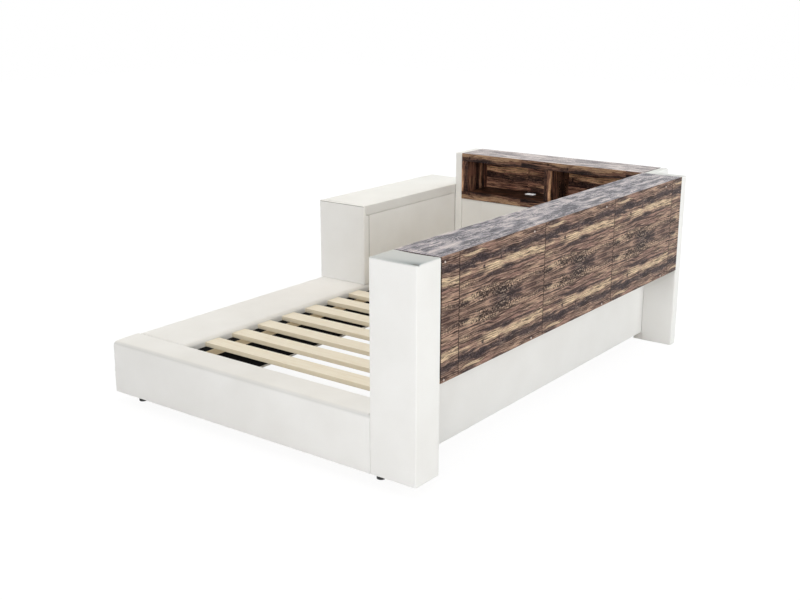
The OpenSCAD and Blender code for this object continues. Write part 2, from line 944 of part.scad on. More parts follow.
// Thick padding over the lid board, wrapped round its edges
module lid_cover() {
  color(leather)
    difference() {
      pad(lid, "z", tight_face, soft_face);
      span(drawn(lid[0], pad_t), drawn(lid[1], pad_t), [lid[2][0] - 1, lid[2][1] - 2 * pad_t]);
    }
}

foot_rail_frame();
foot_rail_cover();
ledge_frame();
ledge_cover();
side_rail_frame();
side_rail_cover();
rail_linings();
left_ledger();
right_ledger();
slats();
slat_straps();
corner_brackets();
bracket_bolts();
feet();
post_frame();
post_cover();
rear_end_frame();
rear_end_cover();
case_top();
case_floor();
case_uprights();
case_back_strips();
case_back_panels();
case_screws();
head_left_frame();
head_left_cover();
head_right_frame();
head_right_cover();
head_cross_rail();
head_panel_board();
head_panel_pad();
shelf_top();
shelf_floor();
shelf_uprights();
shelf_back();
charging_unit();
charging_plate();
arm_front_board();
arm_front_cover();
arm_end_frame();
arm_end_cover();
arm_inner_board();
arm_inner_cover();
arm_outer_board();
arm_outer_cover();
arm_head_board();
arm_floor();
hinge_box_leaf();
hinge_pin();
hinge_box_screws();
lid_board();
lid_cover();
hinge_lid_leaf();
hinge_lid_screws();
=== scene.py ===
"""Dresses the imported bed: padded leather, printed boards, pine slats, fixings and the studio."""

import math

import bmesh
import bpy
import numpy as np
from mathutils import Euler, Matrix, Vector, noise


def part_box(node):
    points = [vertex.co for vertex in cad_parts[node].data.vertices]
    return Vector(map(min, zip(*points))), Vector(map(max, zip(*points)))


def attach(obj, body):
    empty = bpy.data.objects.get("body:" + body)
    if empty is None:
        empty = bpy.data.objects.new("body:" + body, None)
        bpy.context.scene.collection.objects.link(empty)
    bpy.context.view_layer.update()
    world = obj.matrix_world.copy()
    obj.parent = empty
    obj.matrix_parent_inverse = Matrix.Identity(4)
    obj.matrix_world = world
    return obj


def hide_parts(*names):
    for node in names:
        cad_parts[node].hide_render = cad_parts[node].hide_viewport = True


bl_info = {
    "name": "Upholstered Storage Bed",
    "version": (1, 0, 0),
    "blender": (4, 5, 0),
    "location": "View3D > Sidebar > Bed",
    "description": "Leather, boards, slats, fixings and studio for a bed with bookcases",
    "category": "Object",
}

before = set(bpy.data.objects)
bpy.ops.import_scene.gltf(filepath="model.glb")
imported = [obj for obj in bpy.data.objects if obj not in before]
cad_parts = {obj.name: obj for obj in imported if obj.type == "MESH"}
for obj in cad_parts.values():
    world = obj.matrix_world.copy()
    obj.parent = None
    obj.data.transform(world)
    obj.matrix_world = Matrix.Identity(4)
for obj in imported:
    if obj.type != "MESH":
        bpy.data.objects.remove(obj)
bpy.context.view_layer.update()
MM = 0.001


def srgb(red, green, blue):
    """A colour given from 0 to 255 as shaders want it."""
    channels = []
    for value in (red, green, blue):
        c = value / 255
        channels.append(c / 12.92 if c <= 0.04045 else ((c + 0.055) / 1.055) ** 2.4)
    return (*channels, 1.0)


def add(tree, kind, inputs=None, **settings):
    """A new node, with its settings, and its inputs linked or set."""
    node = tree.nodes.new(kind)
    for name, value in settings.items():
        setattr(node, name, value)
    for name, value in (inputs or {}).items():
        socket = node.inputs[name]
        if isinstance(value, bpy.types.NodeSocket):
            tree.links.new(value, socket)
        else:
            socket.default_value = value
    return node


def calc(tree, operation, *values):
    """The result of a math node."""
    return add(tree, "ShaderNodeMath", dict(enumerate(values)), operation=operation).outputs[0]


def blend(tree, amount, first, second, way="MIX"):
    """The result of a colour mix."""
    node = add(
        tree, "ShaderNodeMix", {0: amount, 6: first, 7: second}, data_type="RGBA", blend_type=way
    )
    return node.outputs[2]


def ramp(tree, value, stops):
    """The colour output of a ramp with (position, colour) stops."""
    node = add(tree, "ShaderNodeValToRGB", {0: value})
    elements = node.color_ramp.elements
    while len(elements) < len(stops):
        elements.new(0.5)
    for element, (position, colour) in zip(elements, stops):
        element.position = position
        element.color = colour
    return node.outputs[0]


def spots(tree, vector, scale, detail=3.0, rough=0.5):
    """The value of a noise texture."""
    return add(
        tree, "ShaderNodeTexNoise",
        {"Vector": vector, "Scale": scale, "Detail": detail, "Roughness": rough},
    ).outputs[0]


def spread(tree, value, low, high, to_low=0.0, to_high=1.0):
    """A value moved from one range to another, clamped."""
    return add(
        tree, "ShaderNodeMapRange", {0: value, 1: low, 2: high, 3: to_low, 4: to_high}
    ).outputs[0]


def stored(tree, name):
    """A value that the mesh stores at its points."""
    return add(tree, "ShaderNodeAttribute", attribute_name=name).outputs["Fac"]


def object_place(tree):
    """Object coordinates."""
    return add(tree, "ShaderNodeTexCoord").outputs["Object"]


def scaled(tree, vector, scale):
    """A vector scaled along each axis."""
    return add(tree, "ShaderNodeMapping", {"Vector": vector, "Scale": scale}).outputs[0]


def split(tree, vector):
    """The three parts of a vector."""
    return add(tree, "ShaderNodeSeparateXYZ", {0: vector}).outputs


def outward(tree):
    """The three parts of the surface's normal."""
    return split(tree, add(tree, "ShaderNodeNewGeometry").outputs["Normal"])


def found(tree, kind):
    """The tree's node of a kind."""
    return next(n for n in tree.nodes if n.type == kind)


def finish_material(name, roughness, metallic=0.0, specular=0.5):
    """An empty material with its shader, ready for colour and bump."""
    material = bpy.data.materials.new(name)
    material.use_nodes = True
    tree = material.node_tree
    shader = found(tree, "BSDF_PRINCIPLED")
    shader.inputs["Roughness"].default_value = roughness
    shader.inputs["Metallic"].default_value = metallic
    shader.inputs["Specular IOR Level"].default_value = specular
    return material, tree, shader


def bump(tree, shader, height, depth, strength=1.0):
    """Gives a shader relief from a height of 0 to 1 that stands for depth metres."""
    node = add(
        tree, "ShaderNodeBump", {"Height": height, "Distance": depth, "Strength": strength}
    )
    tree.links.new(node.outputs[0], shader.inputs["Normal"])


def faux_leather(name, tone):
    """White leather cloth: pebbled grain, faint mottling, painted grey shade on tops and folds and
    painted dark shade in creases, seams and shaded faces.
    """
    pebble_scale, fine_scale, mottle_scale, relief = 620.0, 1900.0, 6.0, 0.22 * MM
    material, tree, shader = finish_material(name, 0.48, specular=0.30)
    where = object_place(tree)
    cells = add(
        tree, "ShaderNodeTexVoronoi", {"Vector": where, "Scale": pebble_scale},
        feature="SMOOTH_F1",
    ).outputs[0]
    pebble = spread(tree, cells, 0.15, 0.75)
    fine = spots(tree, where, fine_scale, 2.0)
    mottle = spread(tree, spots(tree, where, mottle_scale, 3.0), 0.3, 0.7, 0.0, 0.35)
    colour = blend(tree, mottle, tone, srgb(230, 228, 223))
    hollow = spread(tree, pebble, 0.2, 1.0, 0.0, 0.08)
    colour = blend(tree, hollow, colour, srgb(200, 196, 190))
    # Painted shade: the first share greys tops and folds, the second darkens creases, seams and
    # inner faces.
    colour = blend(tree, stored(tree, "turned"), colour, srgb(150, 158, 160))
    colour = blend(tree, stored(tree, "crease"), colour, srgb(104, 98, 90))
    tree.links.new(colour, shader.inputs["Base Color"])
    tree.links.new(spread(tree, pebble, 0, 1, 0.40, 0.56), shader.inputs["Roughness"])
    height = calc(
        tree, "ADD", calc(tree, "MULTIPLY", pebble, -0.7), calc(tree, "MULTIPLY", fine, 0.3)
    )
    bump(tree, shader, height, relief, 0.55)
    return material


# The large figures of the plank print in one tile, in mm: place along the grain, place across it
# from the mirror line, half length, half width and strength.
PALE_FIGURES = [
    (225, 125, 95, 16, 1.0), (360, 136, 90, 14, 1.0), (500, 128, 110, 15, 1.0),
    (100, 199, 62, 8, 0.9), (75, 40, 58, 12, 0.7), (30, 98, 44, 14, 0.4),
    (44, 134, 42, 7, 0.6), (190, 50, 62, 8, 0.5), (400, 46, 110, 7, 0.35),
    (330, 208, 90, 4, 0.35), (470, 70, 80, 6, 0.3),
]
SLATE_FIGURES = [
    (322, 0, 120, 15, 1.0), (272, 20, 56, 22, 0.95), (350, 20, 62, 13, 0.85),
    (112, 116, 48, 5, 0.85), (200, 98, 92, 6, 0.85), (312, 104, 44, 12, 0.95),
    (440, 102, 64, 6, 0.8), (30, 160, 90, 16, 1.0), (130, 172, 100, 15, 1.0),
    (240, 167, 90, 12, 0.9), (330, 166, 90, 15, 1.0), (480, 172, 140, 17, 0.9),
    (42, 31, 34, 5, 0.9), (96, 65, 96, 3, 0.75), (160, 78, 84, 3, 0.6), (60, 213, 50, 7, 0.7),
    (262, 150, 5, 14, 1.0), (152, 136, 7, 6, 1.2), (230, 88, 120, 3, 0.6),
    (430, 82, 110, 2, 0.5), (560, 40, 40, 4, 0.7), (520, 24, 70, 2, 0.5),
    (150, 14, 100, 2, 0.5),
]
RUDDY_FIGURES = [
    (372, 94, 60, 10, 0.9), (495, 96, 95, 6, 0.7), (350, 64, 80, 9, 0.6), (220, 72, 52, 7, 0.6),
    (230, 208, 120, 7, 0.7), (60, 120, 40, 8, 0.5),
]
BURR_FIGURES = [
    (150, 40, 72, 25, 1.0), (270, 32, 104, 24, 1.0), (20, 32, 44, 14, 0.9),
    (60, 96, 66, 10, 0.5), (370, 38, 70, 10, 0.8), (500, 44, 80, 10, 0.5),
]
# Knots: place along the grain, place across it, half length and half width, in mm.
KNOTS = [
    (137, 40, 9, 6), (179, 28, 8, 6), (204, 53, 9, 5), (8, 30, 9, 8), (160, 22, 7, 4),
    (118, 52, 7, 4),
]
# Tiles counted back from a board's start, so that no length along the grain is negative.
TILES_BACK = 40.0
MM_IN_METRE = 1000
# Share by which the print on an edge follows the print on the face beside it.
WRAP = 0.9


def plank_print():
    """The rustic plank print as a node group: colour and height from two lengths in metres.

    The print comes in tiles that start anew at every joint, and each is mirrored about its
    middle line.
    """
    tree = bpy.data.node_groups.new("Plank print", "ShaderNodeTree")
    for label, value in (
        ("Along", 0.0), ("Across", 0.0), ("Tile", 0.577), ("Half", 0.22), ("Seed", 1.0),
        ("Joint", 0.0),
    ):
        socket = tree.interface.new_socket(label, in_out="INPUT", socket_type="NodeSocketFloat")
        socket.default_value = value
    tree.interface.new_socket("Colour", in_out="OUTPUT", socket_type="NodeSocketColor")
    tree.interface.new_socket("Height", in_out="OUTPUT", socket_type="NodeSocketFloat")
    given = tree.nodes.new("NodeGroupInput").outputs
    end = tree.nodes.new("NodeGroupOutput")

    back = calc(tree, "MULTIPLY", given["Tile"], TILES_BACK)
    u = calc(tree, "MODULO", calc(tree, "ADD", given["Along"], back), given["Tile"])
    v = calc(tree, "PINGPONG", given["Across"], given["Half"])
    flat = add(tree, "ShaderNodeCombineXYZ", {0: u, 1: v, 2: given["Seed"]}).outputs[0]

    def stretched(source, scale_u, scale_v, detail, rough=0.55):
        return spots(tree, scaled(tree, source, (scale_u, scale_v, 1.0)), 1.0, detail, rough)

    def swing(value, reach):
        return calc(tree, "MULTIPLY_ADD", value, 2 * reach, -reach)

    sway = swing(stretched(flat, 6, 16, 2), 0.010)
    ripple = swing(stretched(flat, 16, 60, 3, 0.6), 0.0024)
    bend = calc(tree, "ADD", sway, ripple)
    bent_v = calc(tree, "ADD", v, bend)
    grain = add(tree, "ShaderNodeCombineXYZ", {0: u, 1: bent_v, 2: given["Seed"]}).outputs[0]
    fray = swing(stretched(grain, 20, 110, 5, 0.74), 1.7)
    curl = swing(stretched(flat, 150, 190, 3, 0.6), 1.6)
    drift = calc(tree, "ADD", v, calc(tree, "MULTIPLY", bend, 1.7))
    figured = add(tree, "ShaderNodeCombineXYZ", {0: u, 1: drift, 2: 0.0}).outputs[0]

    def far_from(along, across, half_length, half_width):
        """How far a point lies from a figure's middle, 1 at the figure's edge."""
        moved = add(
            tree, "ShaderNodeMapping",
            {"Vector": figured, "Location": (-along / half_length, -across / half_width, 0),
             "Scale": (MM_IN_METRE / half_length, MM_IN_METRE / half_width, 0)},
        ).outputs[0]
        return add(tree, "ShaderNodeVectorMath", {0: moved}, operation="LENGTH").outputs["Value"]

    def figures(rows, soft=0.35):
        """Where any of the figures is, with frayed edges."""
        total = None
        for along, across, half_length, half_width, strength in rows:
            edge = calc(tree, "ADD", far_from(along, across, half_length, half_width), fray)
            part = spread(tree, edge, 1.0 - soft, 1.0 + soft * 0.6, strength, 0.0)
            total = part if total is None else calc(tree, "MAXIMUM", total, part)
        return total

    def laid(amount, tone):
        """The print so far with a tone laid over it."""
        return blend(tree, amount, colour, tone)

    streak = stretched(grain, 4.5, 140, 5, 0.70)
    bars = stretched(grain, 7, 110, 4, 0.6)
    fine = stretched(grain, 24, 520, 4, 0.65)
    cracks = stretched(grain, 10, 260, 3, 0.6)
    light = stretched(grain, 12, 340, 3, 0.6)
    saw = stretched(grain, 130, 70, 4, 0.7)
    patch = stretched(grain, 9, 40, 3, 0.6)
    pores = stretched(flat, 420, 620, 2, 0.6)
    speck = stretched(flat, 115, 125, 2, 0.6)
    straight = stretched(flat, 6, 230, 3, 0.55)

    colour = srgb(168, 143, 122)
    colour = laid(spread(tree, streak, 0.40, 0.60), srgb(88, 69, 62))
    colour = laid(spread(tree, patch, 0.45, 0.65, 0.0, 0.45), srgb(140, 110, 98))
    colour = laid(figures(RUDDY_FIGURES, 0.6), srgb(140, 110, 98))
    colour = laid(spread(tree, bars, 0.54, 0.62, 0.0, 0.75), srgb(66, 50, 50))
    pale_share = spread(tree, light, 0.40, 0.62)
    pale = blend(tree, pale_share, srgb(188, 171, 142), srgb(156, 138, 114))
    colour = laid(figures(PALE_FIGURES), pale)
    slate = blend(tree, spread(tree, saw, 0.40, 0.62), srgb(52, 42, 46), srgb(92, 79, 82))
    colour = laid(figures(SLATE_FIGURES, 0.4), slate)
    burr = figures(BURR_FIGURES, 0.5)
    dark_specks = calc(tree, "MULTIPLY", spread(tree, speck, 0.48, 0.55, 0.0, 0.98), burr)
    colour = laid(dark_specks, srgb(48, 37, 36))
    pale_specks = calc(tree, "MULTIPLY", spread(tree, speck, 0.46, 0.36, 0.0, 0.6), burr)
    colour = laid(pale_specks, srgb(194, 176, 150))
    for knot in KNOTS:
        ring = calc(tree, "ADD", far_from(*knot), curl)
        rim = calc(tree, "ABSOLUTE", calc(tree, "SUBTRACT", ring, 0.9))
        colour = laid(spread(tree, rim, 0.15, 0.5, 0.80, 0.0), srgb(44, 32, 32))
    colour = laid(spread(tree, light, 0.56, 0.66, 0.0, 0.50), srgb(190, 170, 148))
    colour = laid(spread(tree, straight, 0.55, 0.62, 0.0, 0.7), srgb(66, 50, 47))
    dark_lines = spread(tree, cracks, 0.545, 0.62, 0.0, 0.9)
    colour = laid(dark_lines, srgb(48, 35, 33))
    colour = laid(spread(tree, fine, 0.50, 0.70, 0.0, 0.55), srgb(70, 54, 50))
    colour = laid(spread(tree, pores, 0.60, 0.72, 0.0, 0.45), srgb(42, 32, 32))
    near_end = calc(tree, "MINIMUM", u, calc(tree, "SUBTRACT", given["Tile"], u))
    line = spread(tree, near_end, 0.8 * MM, 3.5 * MM, 1.0, 0.0)
    colour = laid(calc(tree, "MULTIPLY", line, given["Joint"]), srgb(34, 27, 27))
    low_parts = calc(tree, "ADD", dark_lines, calc(tree, "MULTIPLY", fine, 0.4))
    tree.links.new(colour, end.inputs["Colour"])
    tree.links.new(calc(tree, "SUBTRACT", light, low_parts), end.inputs["Height"])
    return tree


def printed_board(
    name, grain, face, start, middle, tile, half=0.220, seed=1.0, tone=(255, 255, 255),
    depth=1.5, widen=1.0, joint=0.0, up=None, sheen=0.07,
):
    """Laminated board, printed along one axis and across another, from its own start.

    depth is the print's contrast, widen stretches it across the grain, joint is how dark the
    lines between its tiles are, and up holds the colour stops painted over the faces that look
    up, in place of reflection on tops and of shade on the cubby floor.
    """
    lift_base, vivid, relief = 5.0, 0.80, 0.25 * MM
    blotch_along, blotch_across = 11.0, 34.0
    material, tree, shader = finish_material(name, 0.42, specular=sheen)
    source = object_place(tree)
    axes = split(tree, source)
    along = calc(tree, "SUBTRACT", axes[grain], start)
    rest = ({0, 1, 2} - {grain, face}).pop()
    across = calc(tree, "ADD", axes[face], calc(tree, "MULTIPLY", axes[rest], WRAP))
    across = calc(tree, "MULTIPLY", calc(tree, "SUBTRACT", across, middle), widen)
    pattern = add(tree, "ShaderNodeGroup", node_tree=bpy.data.node_groups["Plank print"])
    for label, value in (("Along", along), ("Across", across)):
        tree.links.new(value, pattern.inputs[label])
    for label, value in (("Tile", tile), ("Half", half), ("Seed", seed), ("Joint", joint)):
        pattern.inputs[label].default_value = value
    printed, height = pattern.outputs["Colour"], pattern.outputs["Height"]
    deep = add(tree, "ShaderNodeGamma", {"Color": printed, "Gamma": depth}).outputs[0]
    bright = [lift_base ** (depth - 1) * c for c in srgb(*tone)[:3]]
    colour = blend(tree, 1.0, deep, (*bright, 1.0), "MULTIPLY")
    colour = add(
        tree, "ShaderNodeHueSaturation", {"Saturation": vivid, "Color": colour}
    ).outputs[0]
    facing = outward(tree)
    # Painted reflection and shade: the faces that look up take the up stops.
    if up:
        sizes = [blotch_along if a == grain else blotch_across for a in range(3)]
        blotches = spots(tree, scaled(tree, source, sizes), 1.0, 5.0, 0.62)
        grey = add(tree, "ShaderNodeRGBToBW", {0: printed}).outputs[0]
        mixed = calc(
            tree, "ADD", spread(tree, grey, 0.08, 0.29, 0.0, 0.55),
            spread(tree, blotches, 0.40, 0.60, 0.0, 0.45),
        )
        colour = blend(tree, spread(tree, facing[2], 0.5, 0.8), colour, ramp(tree, mixed, up))
    rim = spread(tree, calc(tree, "ABSOLUTE", facing[grain]), 0.5, 0.8, 0.0, 0.8)
    colour = blend(tree, rim, colour, srgb(44, 36, 38))
    tree.links.new(colour, shader.inputs["Base Color"])
    tree.links.new(spread(tree, height, -1.0, 0.6, 0.48, 0.32), shader.inputs["Roughness"])
    bump(tree, shader, height, relief, 0.5)
    return material


def pine(name, tone, dark):
    """Softwood: long grain along X, different on every board, small knots, and painted shade that
    darkens the sides.
    """
    board_shift, ring_count, knot_scale, relief = 7.3, 9.0, 3.1, 0.3 * MM
    material, tree, shader = finish_material(name, 0.62, specular=0.3)
    board = stored(tree, "board")
    shift = add(
        tree, "ShaderNodeCombineXYZ",
        {0: calc(tree, "MULTIPLY", board, board_shift), 1: 0.0, 2: board},
    ).outputs[0]
    moved = add(
        tree, "ShaderNodeVectorMath", {0: object_place(tree), 1: shift}, operation="ADD"
    ).outputs[0]
    rings = spots(tree, scaled(tree, moved, (1.4, 42, 42)), 1.0, 3.0, 0.5)
    lines = calc(tree, "PINGPONG", calc(tree, "MULTIPLY", rings, ring_count), 0.5)
    pores = spots(tree, scaled(tree, moved, (18, 900, 900)), 1.0, 3.0, 0.6)
    knot = add(
        tree, "ShaderNodeTexVoronoi",
        {"Vector": scaled(tree, moved, (1, 2.6, 2.6)), "Scale": knot_scale},
    ).outputs[0]
    colour = blend(tree, spread(tree, lines, 0.30, 0.5, 0.0, 0.45), tone, dark)
    colour = blend(tree, spread(tree, pores, 0.45, 0.75, 0.0, 0.30), colour, dark)
    knots = spread(tree, knot, 0.018, 0.045, 0.75, 0.0)
    colour = blend(tree, knots, colour, srgb(168, 132, 92))
    # Painted shade: faces that do not look up are darker.
    colour = blend(tree, spread(tree, outward(tree)[2], 0.2, 0.8, 0.6, 0.0), colour, dark)
    tree.links.new(colour, shader.inputs["Base Color"])
    height = calc(tree, "ADD", pores, calc(tree, "MULTIPLY", lines, 0.4))
    bump(tree, shader, height, relief, 0.4)
    return material


def speckled(
    name, tone, second, scale, roughness, depth, specular=0.5, metallic=0.0, stretch=(1, 1, 1),
):
    """A fine two-tone finish with matching relief, for cloth, plastic, metal and raw board."""
    broad_share = 0.03
    material, tree, shader = finish_material(name, roughness, metallic, specular)
    where = scaled(tree, object_place(tree), stretch)
    grain = spots(tree, where, scale, 4.0, 0.6)
    broad = spots(tree, where, scale * broad_share, 2.0)
    colour = blend(tree, spread(tree, grain, 0.35, 0.7), tone, second)
    colour = blend(tree, spread(tree, broad, 0.3, 0.7, 0.0, 0.3), colour, second)
    tree.links.new(colour, shader.inputs["Base Color"])
    rough = spread(tree, grain, 0.2, 0.8, roughness * 0.85, min(roughness * 1.2, 1.0))
    tree.links.new(rough, shader.inputs["Roughness"])
    bump(tree, shader, grain, depth, 0.6)
    return material


def new_object(name, data):
    """A new object in the scene."""
    piece = bpy.data.objects.new(name, data)
    bpy.context.scene.collection.objects.link(piece)
    return piece


def to_mesh(name, vertices, faces, smooth=True):
    """A new object from lists of points and faces."""
    mesh = bpy.data.meshes.new(name)
    mesh.from_pydata([tuple(v) for v in vertices], [], [tuple(f) for f in faces])
    mesh.validate()
    mesh.shade_smooth() if smooth else mesh.shade_flat()
    return new_object(name, mesh)


def dress(piece, material, body, slot, *nodes):
    """Gives a piece its material, its body and the nodes that it stands for; slot is not used."""
    piece.data.materials.clear()
    piece.data.materials.append(material)
    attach(piece, body)
    if nodes:
        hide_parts(*nodes)
    return piece


def paint(material, *nodes):
    """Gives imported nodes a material."""
    for name in nodes:
        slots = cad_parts[name].data.materials
        slots.clear()
        slots.append(material)


def solids(node):
    """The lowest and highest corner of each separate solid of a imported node, along Y."""
    same_point = 0.01 * MM
    mesh = bmesh.new()
    mesh.from_mesh(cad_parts[node].data)
    bmesh.ops.remove_doubles(mesh, verts=mesh.verts, dist=same_point)
    mesh.verts.index_update()
    seen, boxes = set(), []
    for start in mesh.verts:
        if start.index in seen:
            continue
        seen.add(start.index)
        group, waiting = [], [start]
        while waiting:
            vertex = waiting.pop()
            group.append(vertex.co.copy())
            for edge in vertex.link_edges:
                other = edge.other_vert(vertex)
                if other.index not in seen:
                    seen.add(other.index)
                    waiting.append(other)
        low = Vector([min(c[i] for c in group) for i in range(3)])
        high = Vector([max(c[i] for c in group) for i in range(3)])
        boxes.append((low, high))
    mesh.free()
    if not boxes:
        raise RuntimeError(f"{node} holds no solid")
    return sorted(boxes, key=lambda b: (round(b[0].y, 4), round(b[0].z, 4)))


def grid_lines(low, high, edge_low, edge_high, cell, extra=()):
    """Places of the grid's lines along one side: close near the edges and near the extras."""
    steps, clear = 5, 0.006
    turn = [1 - math.cos(math.pi / 2 * i / steps) for i in range(steps + 1)]
    lines = [low + edge_low * t for t in turn] + [high - edge_high * t for t in turn]
    inner_low, inner_high = low + edge_low, high - edge_high
    count = max(2, round((inner_high - inner_low) / cell))
    for i in range(1, count):
        spot = inner_low + (inner_high - inner_low) * i / count
        if all(abs(spot - e) > clear for e in extra):
            lines.append(spot)
    for e in extra:
        lines += [e + d * MM for d in (-5, -3, -1.6, -0.7, 0, 0.7, 1.6, 3, 5)]
    return np.array(sorted(set(round(v, 6) for v in lines if low <= v <= high)))


def box_grid(lines):
    """The surface of a box as a grid: its points, and quads that face outwards."""
    index, points, quads = {}, [], []

    def vertex(key):
        if key not in index:
            index[key] = len(points)
            points.append(tuple(lines[axis][key[axis]] for axis in range(3)))
        return index[key]

    counts = [len(line) - 1 for line in lines]
    for a, b, c in ((0, 1, 2), (0, 2, 1), (1, 2, 0)):
        for i in range(counts[a]):
            for j in range(counts[b]):
                for side in (0, counts[c]):
                    quad = []
                    for x, y in ((0, 0), (1, 0), (1, 1), (0, 1)):
                        key = [side] * 3
                        key[a], key[b] = i + x, j + y
                        quad.append(vertex(tuple(key)))
                    quads.append(quad[::-1] if (side == 0) != (c == 1) else quad)
    return np.array(points), quads


def falloff(share, power):
    """1 in the middle of a face and 0 at its edges, for a share from -1 to 1."""
    return 1 - np.abs(np.clip(share, -1, 1)) ** power


def bell(far, width):
    """1 where far is 0, fading out over a width."""
    return np.exp(-((far / width) ** 2))


def unevenness(points, seed, size, amount):
    """Gentle lumps of the foam, one value for each point."""
    shift = Vector([seed * step for step in (3.7, 1.9, 5.3)])
    return amount * np.array([noise.noise(Vector(p) / size + shift) for p in points])


def padded_body(
    name, low, high, axis, corners, ends, crown, seams=(), turned=None, creased=None, settle=None,
    seed=1, cell=0.016, lumps=0.0006,
):
    """A padded body as a fine mesh.

    axis is the length, corners the radii of the four long edges in the order of the signs
    (--, +-, ++, -+) of the other two axes, ends the radii at the two ends, crown the height of
    each padded face's middle, such as {"y-": 0.003}, and seams the sewn lines
    [(face, axis across the seam, place, depth, darkness)], where darkness is painted shade along
    the seam. turned gives each point's share of painted grey shade, the function after it each
    point's share of painted dark shade, and settle its move, all from (points, normals, low,
    high).
    """
    broad_lump, small_lump, small_share, small_seed = 0.11, 0.035, 0.35, 9
    stitch, hollow, hollow_share, shadow = 0.0022, 0.011, 0.35, 0.0014
    face_power = 6
    low, high = np.array(low, float), np.array(high, float)
    others = [a for a in range(3) if a != axis]
    lines = []
    for a in range(3):
        extra = [s[2] for s in seams if s[1] == a]
        if a == axis:
            reach_low, reach_high = ends
        else:
            side = 0 if a == others[0] else 1
            order = ((0, 3), (1, 2)) if side == 0 else ((0, 1), (3, 2))
            reach_low = max(corners[i] for i in order[0])
            reach_high = max(corners[i] for i in order[1])
        lines.append(grid_lines(low[a], high[a], reach_low, reach_high, cell, extra))
    points, quads = box_grid(lines)
    middle, half = (low + high) / 2, (high - low) / 2
    local = points - middle
    signs = local >= 0
    first, second = signs[:, others[0]], signs[:, others[1]]
    corner = np.where(first, np.where(second, 2, 1), np.where(second, 3, 0))
    radius = np.tile(np.array(corners, float)[corner][:, None], (1, 3))
    radius[:, axis] = np.where(signs[:, axis], ends[1], ends[0])
    inner = np.clip(local, -(half - radius), half - radius)
    off = (local - inner) / radius
    length = np.linalg.norm(off, axis=1, keepdims=True)
    normal = off / np.maximum(length, 1e-9)
    shaped = inner + normal * radius
    share = local / half
    crease = np.zeros(len(points))
    for face, height in crown.items():
        a = "xyz".index(face[0])
        sign = -1 if face[1] == "-" else 1
        b, c = [i for i in range(3) if i != a]
        rise = sign * height * np.clip(normal[:, a] * sign, 0, 1) ** 2
        shaped[:, a] += rise * falloff(share[:, b], face_power) * falloff(share[:, c], face_power)
    uneven = unevenness(points, seed, broad_lump, lumps)
    uneven += unevenness(points, seed + small_seed, small_lump, lumps * small_share)
    shaped -= normal * np.abs(uneven)[:, None]
    for face, across, spot, depth, dark in seams:
        a = "xyz".index(face[0])
        sign = -1 if face[1] == "-" else 1
        weight = np.clip(normal[:, a] * sign, 0, 1)
        far = points[:, across] - spot
        dip = bell(far, stitch) + hollow_share * bell(far, hollow)
        shaped[:, a] -= sign * depth * dip * weight
        # Painted shade along the seam, as dark as the seam's darkness.
        crease = np.maximum(crease, dark * bell(far, shadow) * weight)
    if settle:
        shaped += settle(points, normal, low, high)
    # Painted grey shade and painted dark shade from the given functions.
    grey = turned(points, normal, low, high) if turned else np.zeros(len(points))
    if creased:
        crease = np.maximum(crease, creased(points, normal, low, high))
    piece = to_mesh(name, shaped + middle, quads)
    for label, values in (("crease", crease), ("turned", grey)):
        layer = piece.data.attributes.new(label, "FLOAT", "POINT")
        layer.data.foreach_set("value", np.asarray(values, np.float32))
    return piece


def eased_boxes(name, boxes, ease):
    """One flat-shaded mesh of boxes whose edges are all chamfered."""
    vertices, faces = [], []
    turns = [(0, 1, 2), (1, 2, 0), (2, 0, 1)]
    for low, high in boxes:
        first = len(vertices)
        for corner in range(8):
            signs = [1 if corner >> a & 1 else -1 for a in range(3)]
            outer = [high[a] if signs[a] > 0 else low[a] for a in range(3)]
            inner = [outer[a] - ease * signs[a] for a in range(3)]
            for full in range(3):
                vertices.append([outer[a] if a == full else inner[a] for a in range(3)])

        def at(corner, full):
            return first + corner * 3 + full

        for a, b, c in turns:
            for side in (0, 1):
                ring = [side << a | x << b | y << c for x, y in ((0, 0), (1, 0), (1, 1), (0, 1))]
                quad = [at(k, a) for k in ring]
                faces.append(quad if side else quad[::-1])
            for x, y in ((0, 0), (1, 0), (1, 1), (0, 1)):
                one = x << b | y << c
                two = one | 1 << a
                quad = [at(one, b), at(two, b), at(two, c), at(one, c)]
                faces.append(quad if x != y else quad[::-1])
        for corner in range(8):
            tri = [at(corner, a) for a in range(3)]
            odd = (corner & 1) + (corner >> 1 & 1) + (corner >> 2 & 1)
            faces.append(tri if odd % 2 else tri[::-1])
    return to_mesh(name, vertices, faces, smooth=False)


def lathe(name, profile, steps):
    """A turned body about Z from (radius, height) points, closed at both ends."""
    points, faces = [], []
    for radius, height in profile:
        for i in range(steps):
            angle = 2 * math.pi * i / steps
            points.append((radius * math.cos(angle), radius * math.sin(angle), height))
    rows = len(profile)
    for r in range(rows - 1):
        for i in range(steps):
            j = (i + 1) % steps
            faces.append((r * steps + i, r * steps + j, (r + 1) * steps + j, (r + 1) * steps + i))
    faces.append(tuple(range(steps))[::-1])
    faces.append(tuple((rows - 1) * steps + i for i in range(steps)))
    return to_mesh(name, points, faces)


def new_tree(name, inputs):
    """A geometry tree with named inputs and its group nodes."""
    tree = bpy.data.node_groups.new(name, "GeometryNodeTree")
    tree.interface.new_socket("Geometry", in_out="INPUT", socket_type="NodeSocketGeometry")
    for label, kind, value in inputs:
        socket = tree.interface.new_socket(label, in_out="INPUT", socket_type=kind)
        socket.default_value = value
    tree.interface.new_socket("Geometry", in_out="OUTPUT", socket_type="NodeSocketGeometry")
    return tree, tree.nodes.new("NodeGroupInput"), tree.nodes.new("NodeGroupOutput")


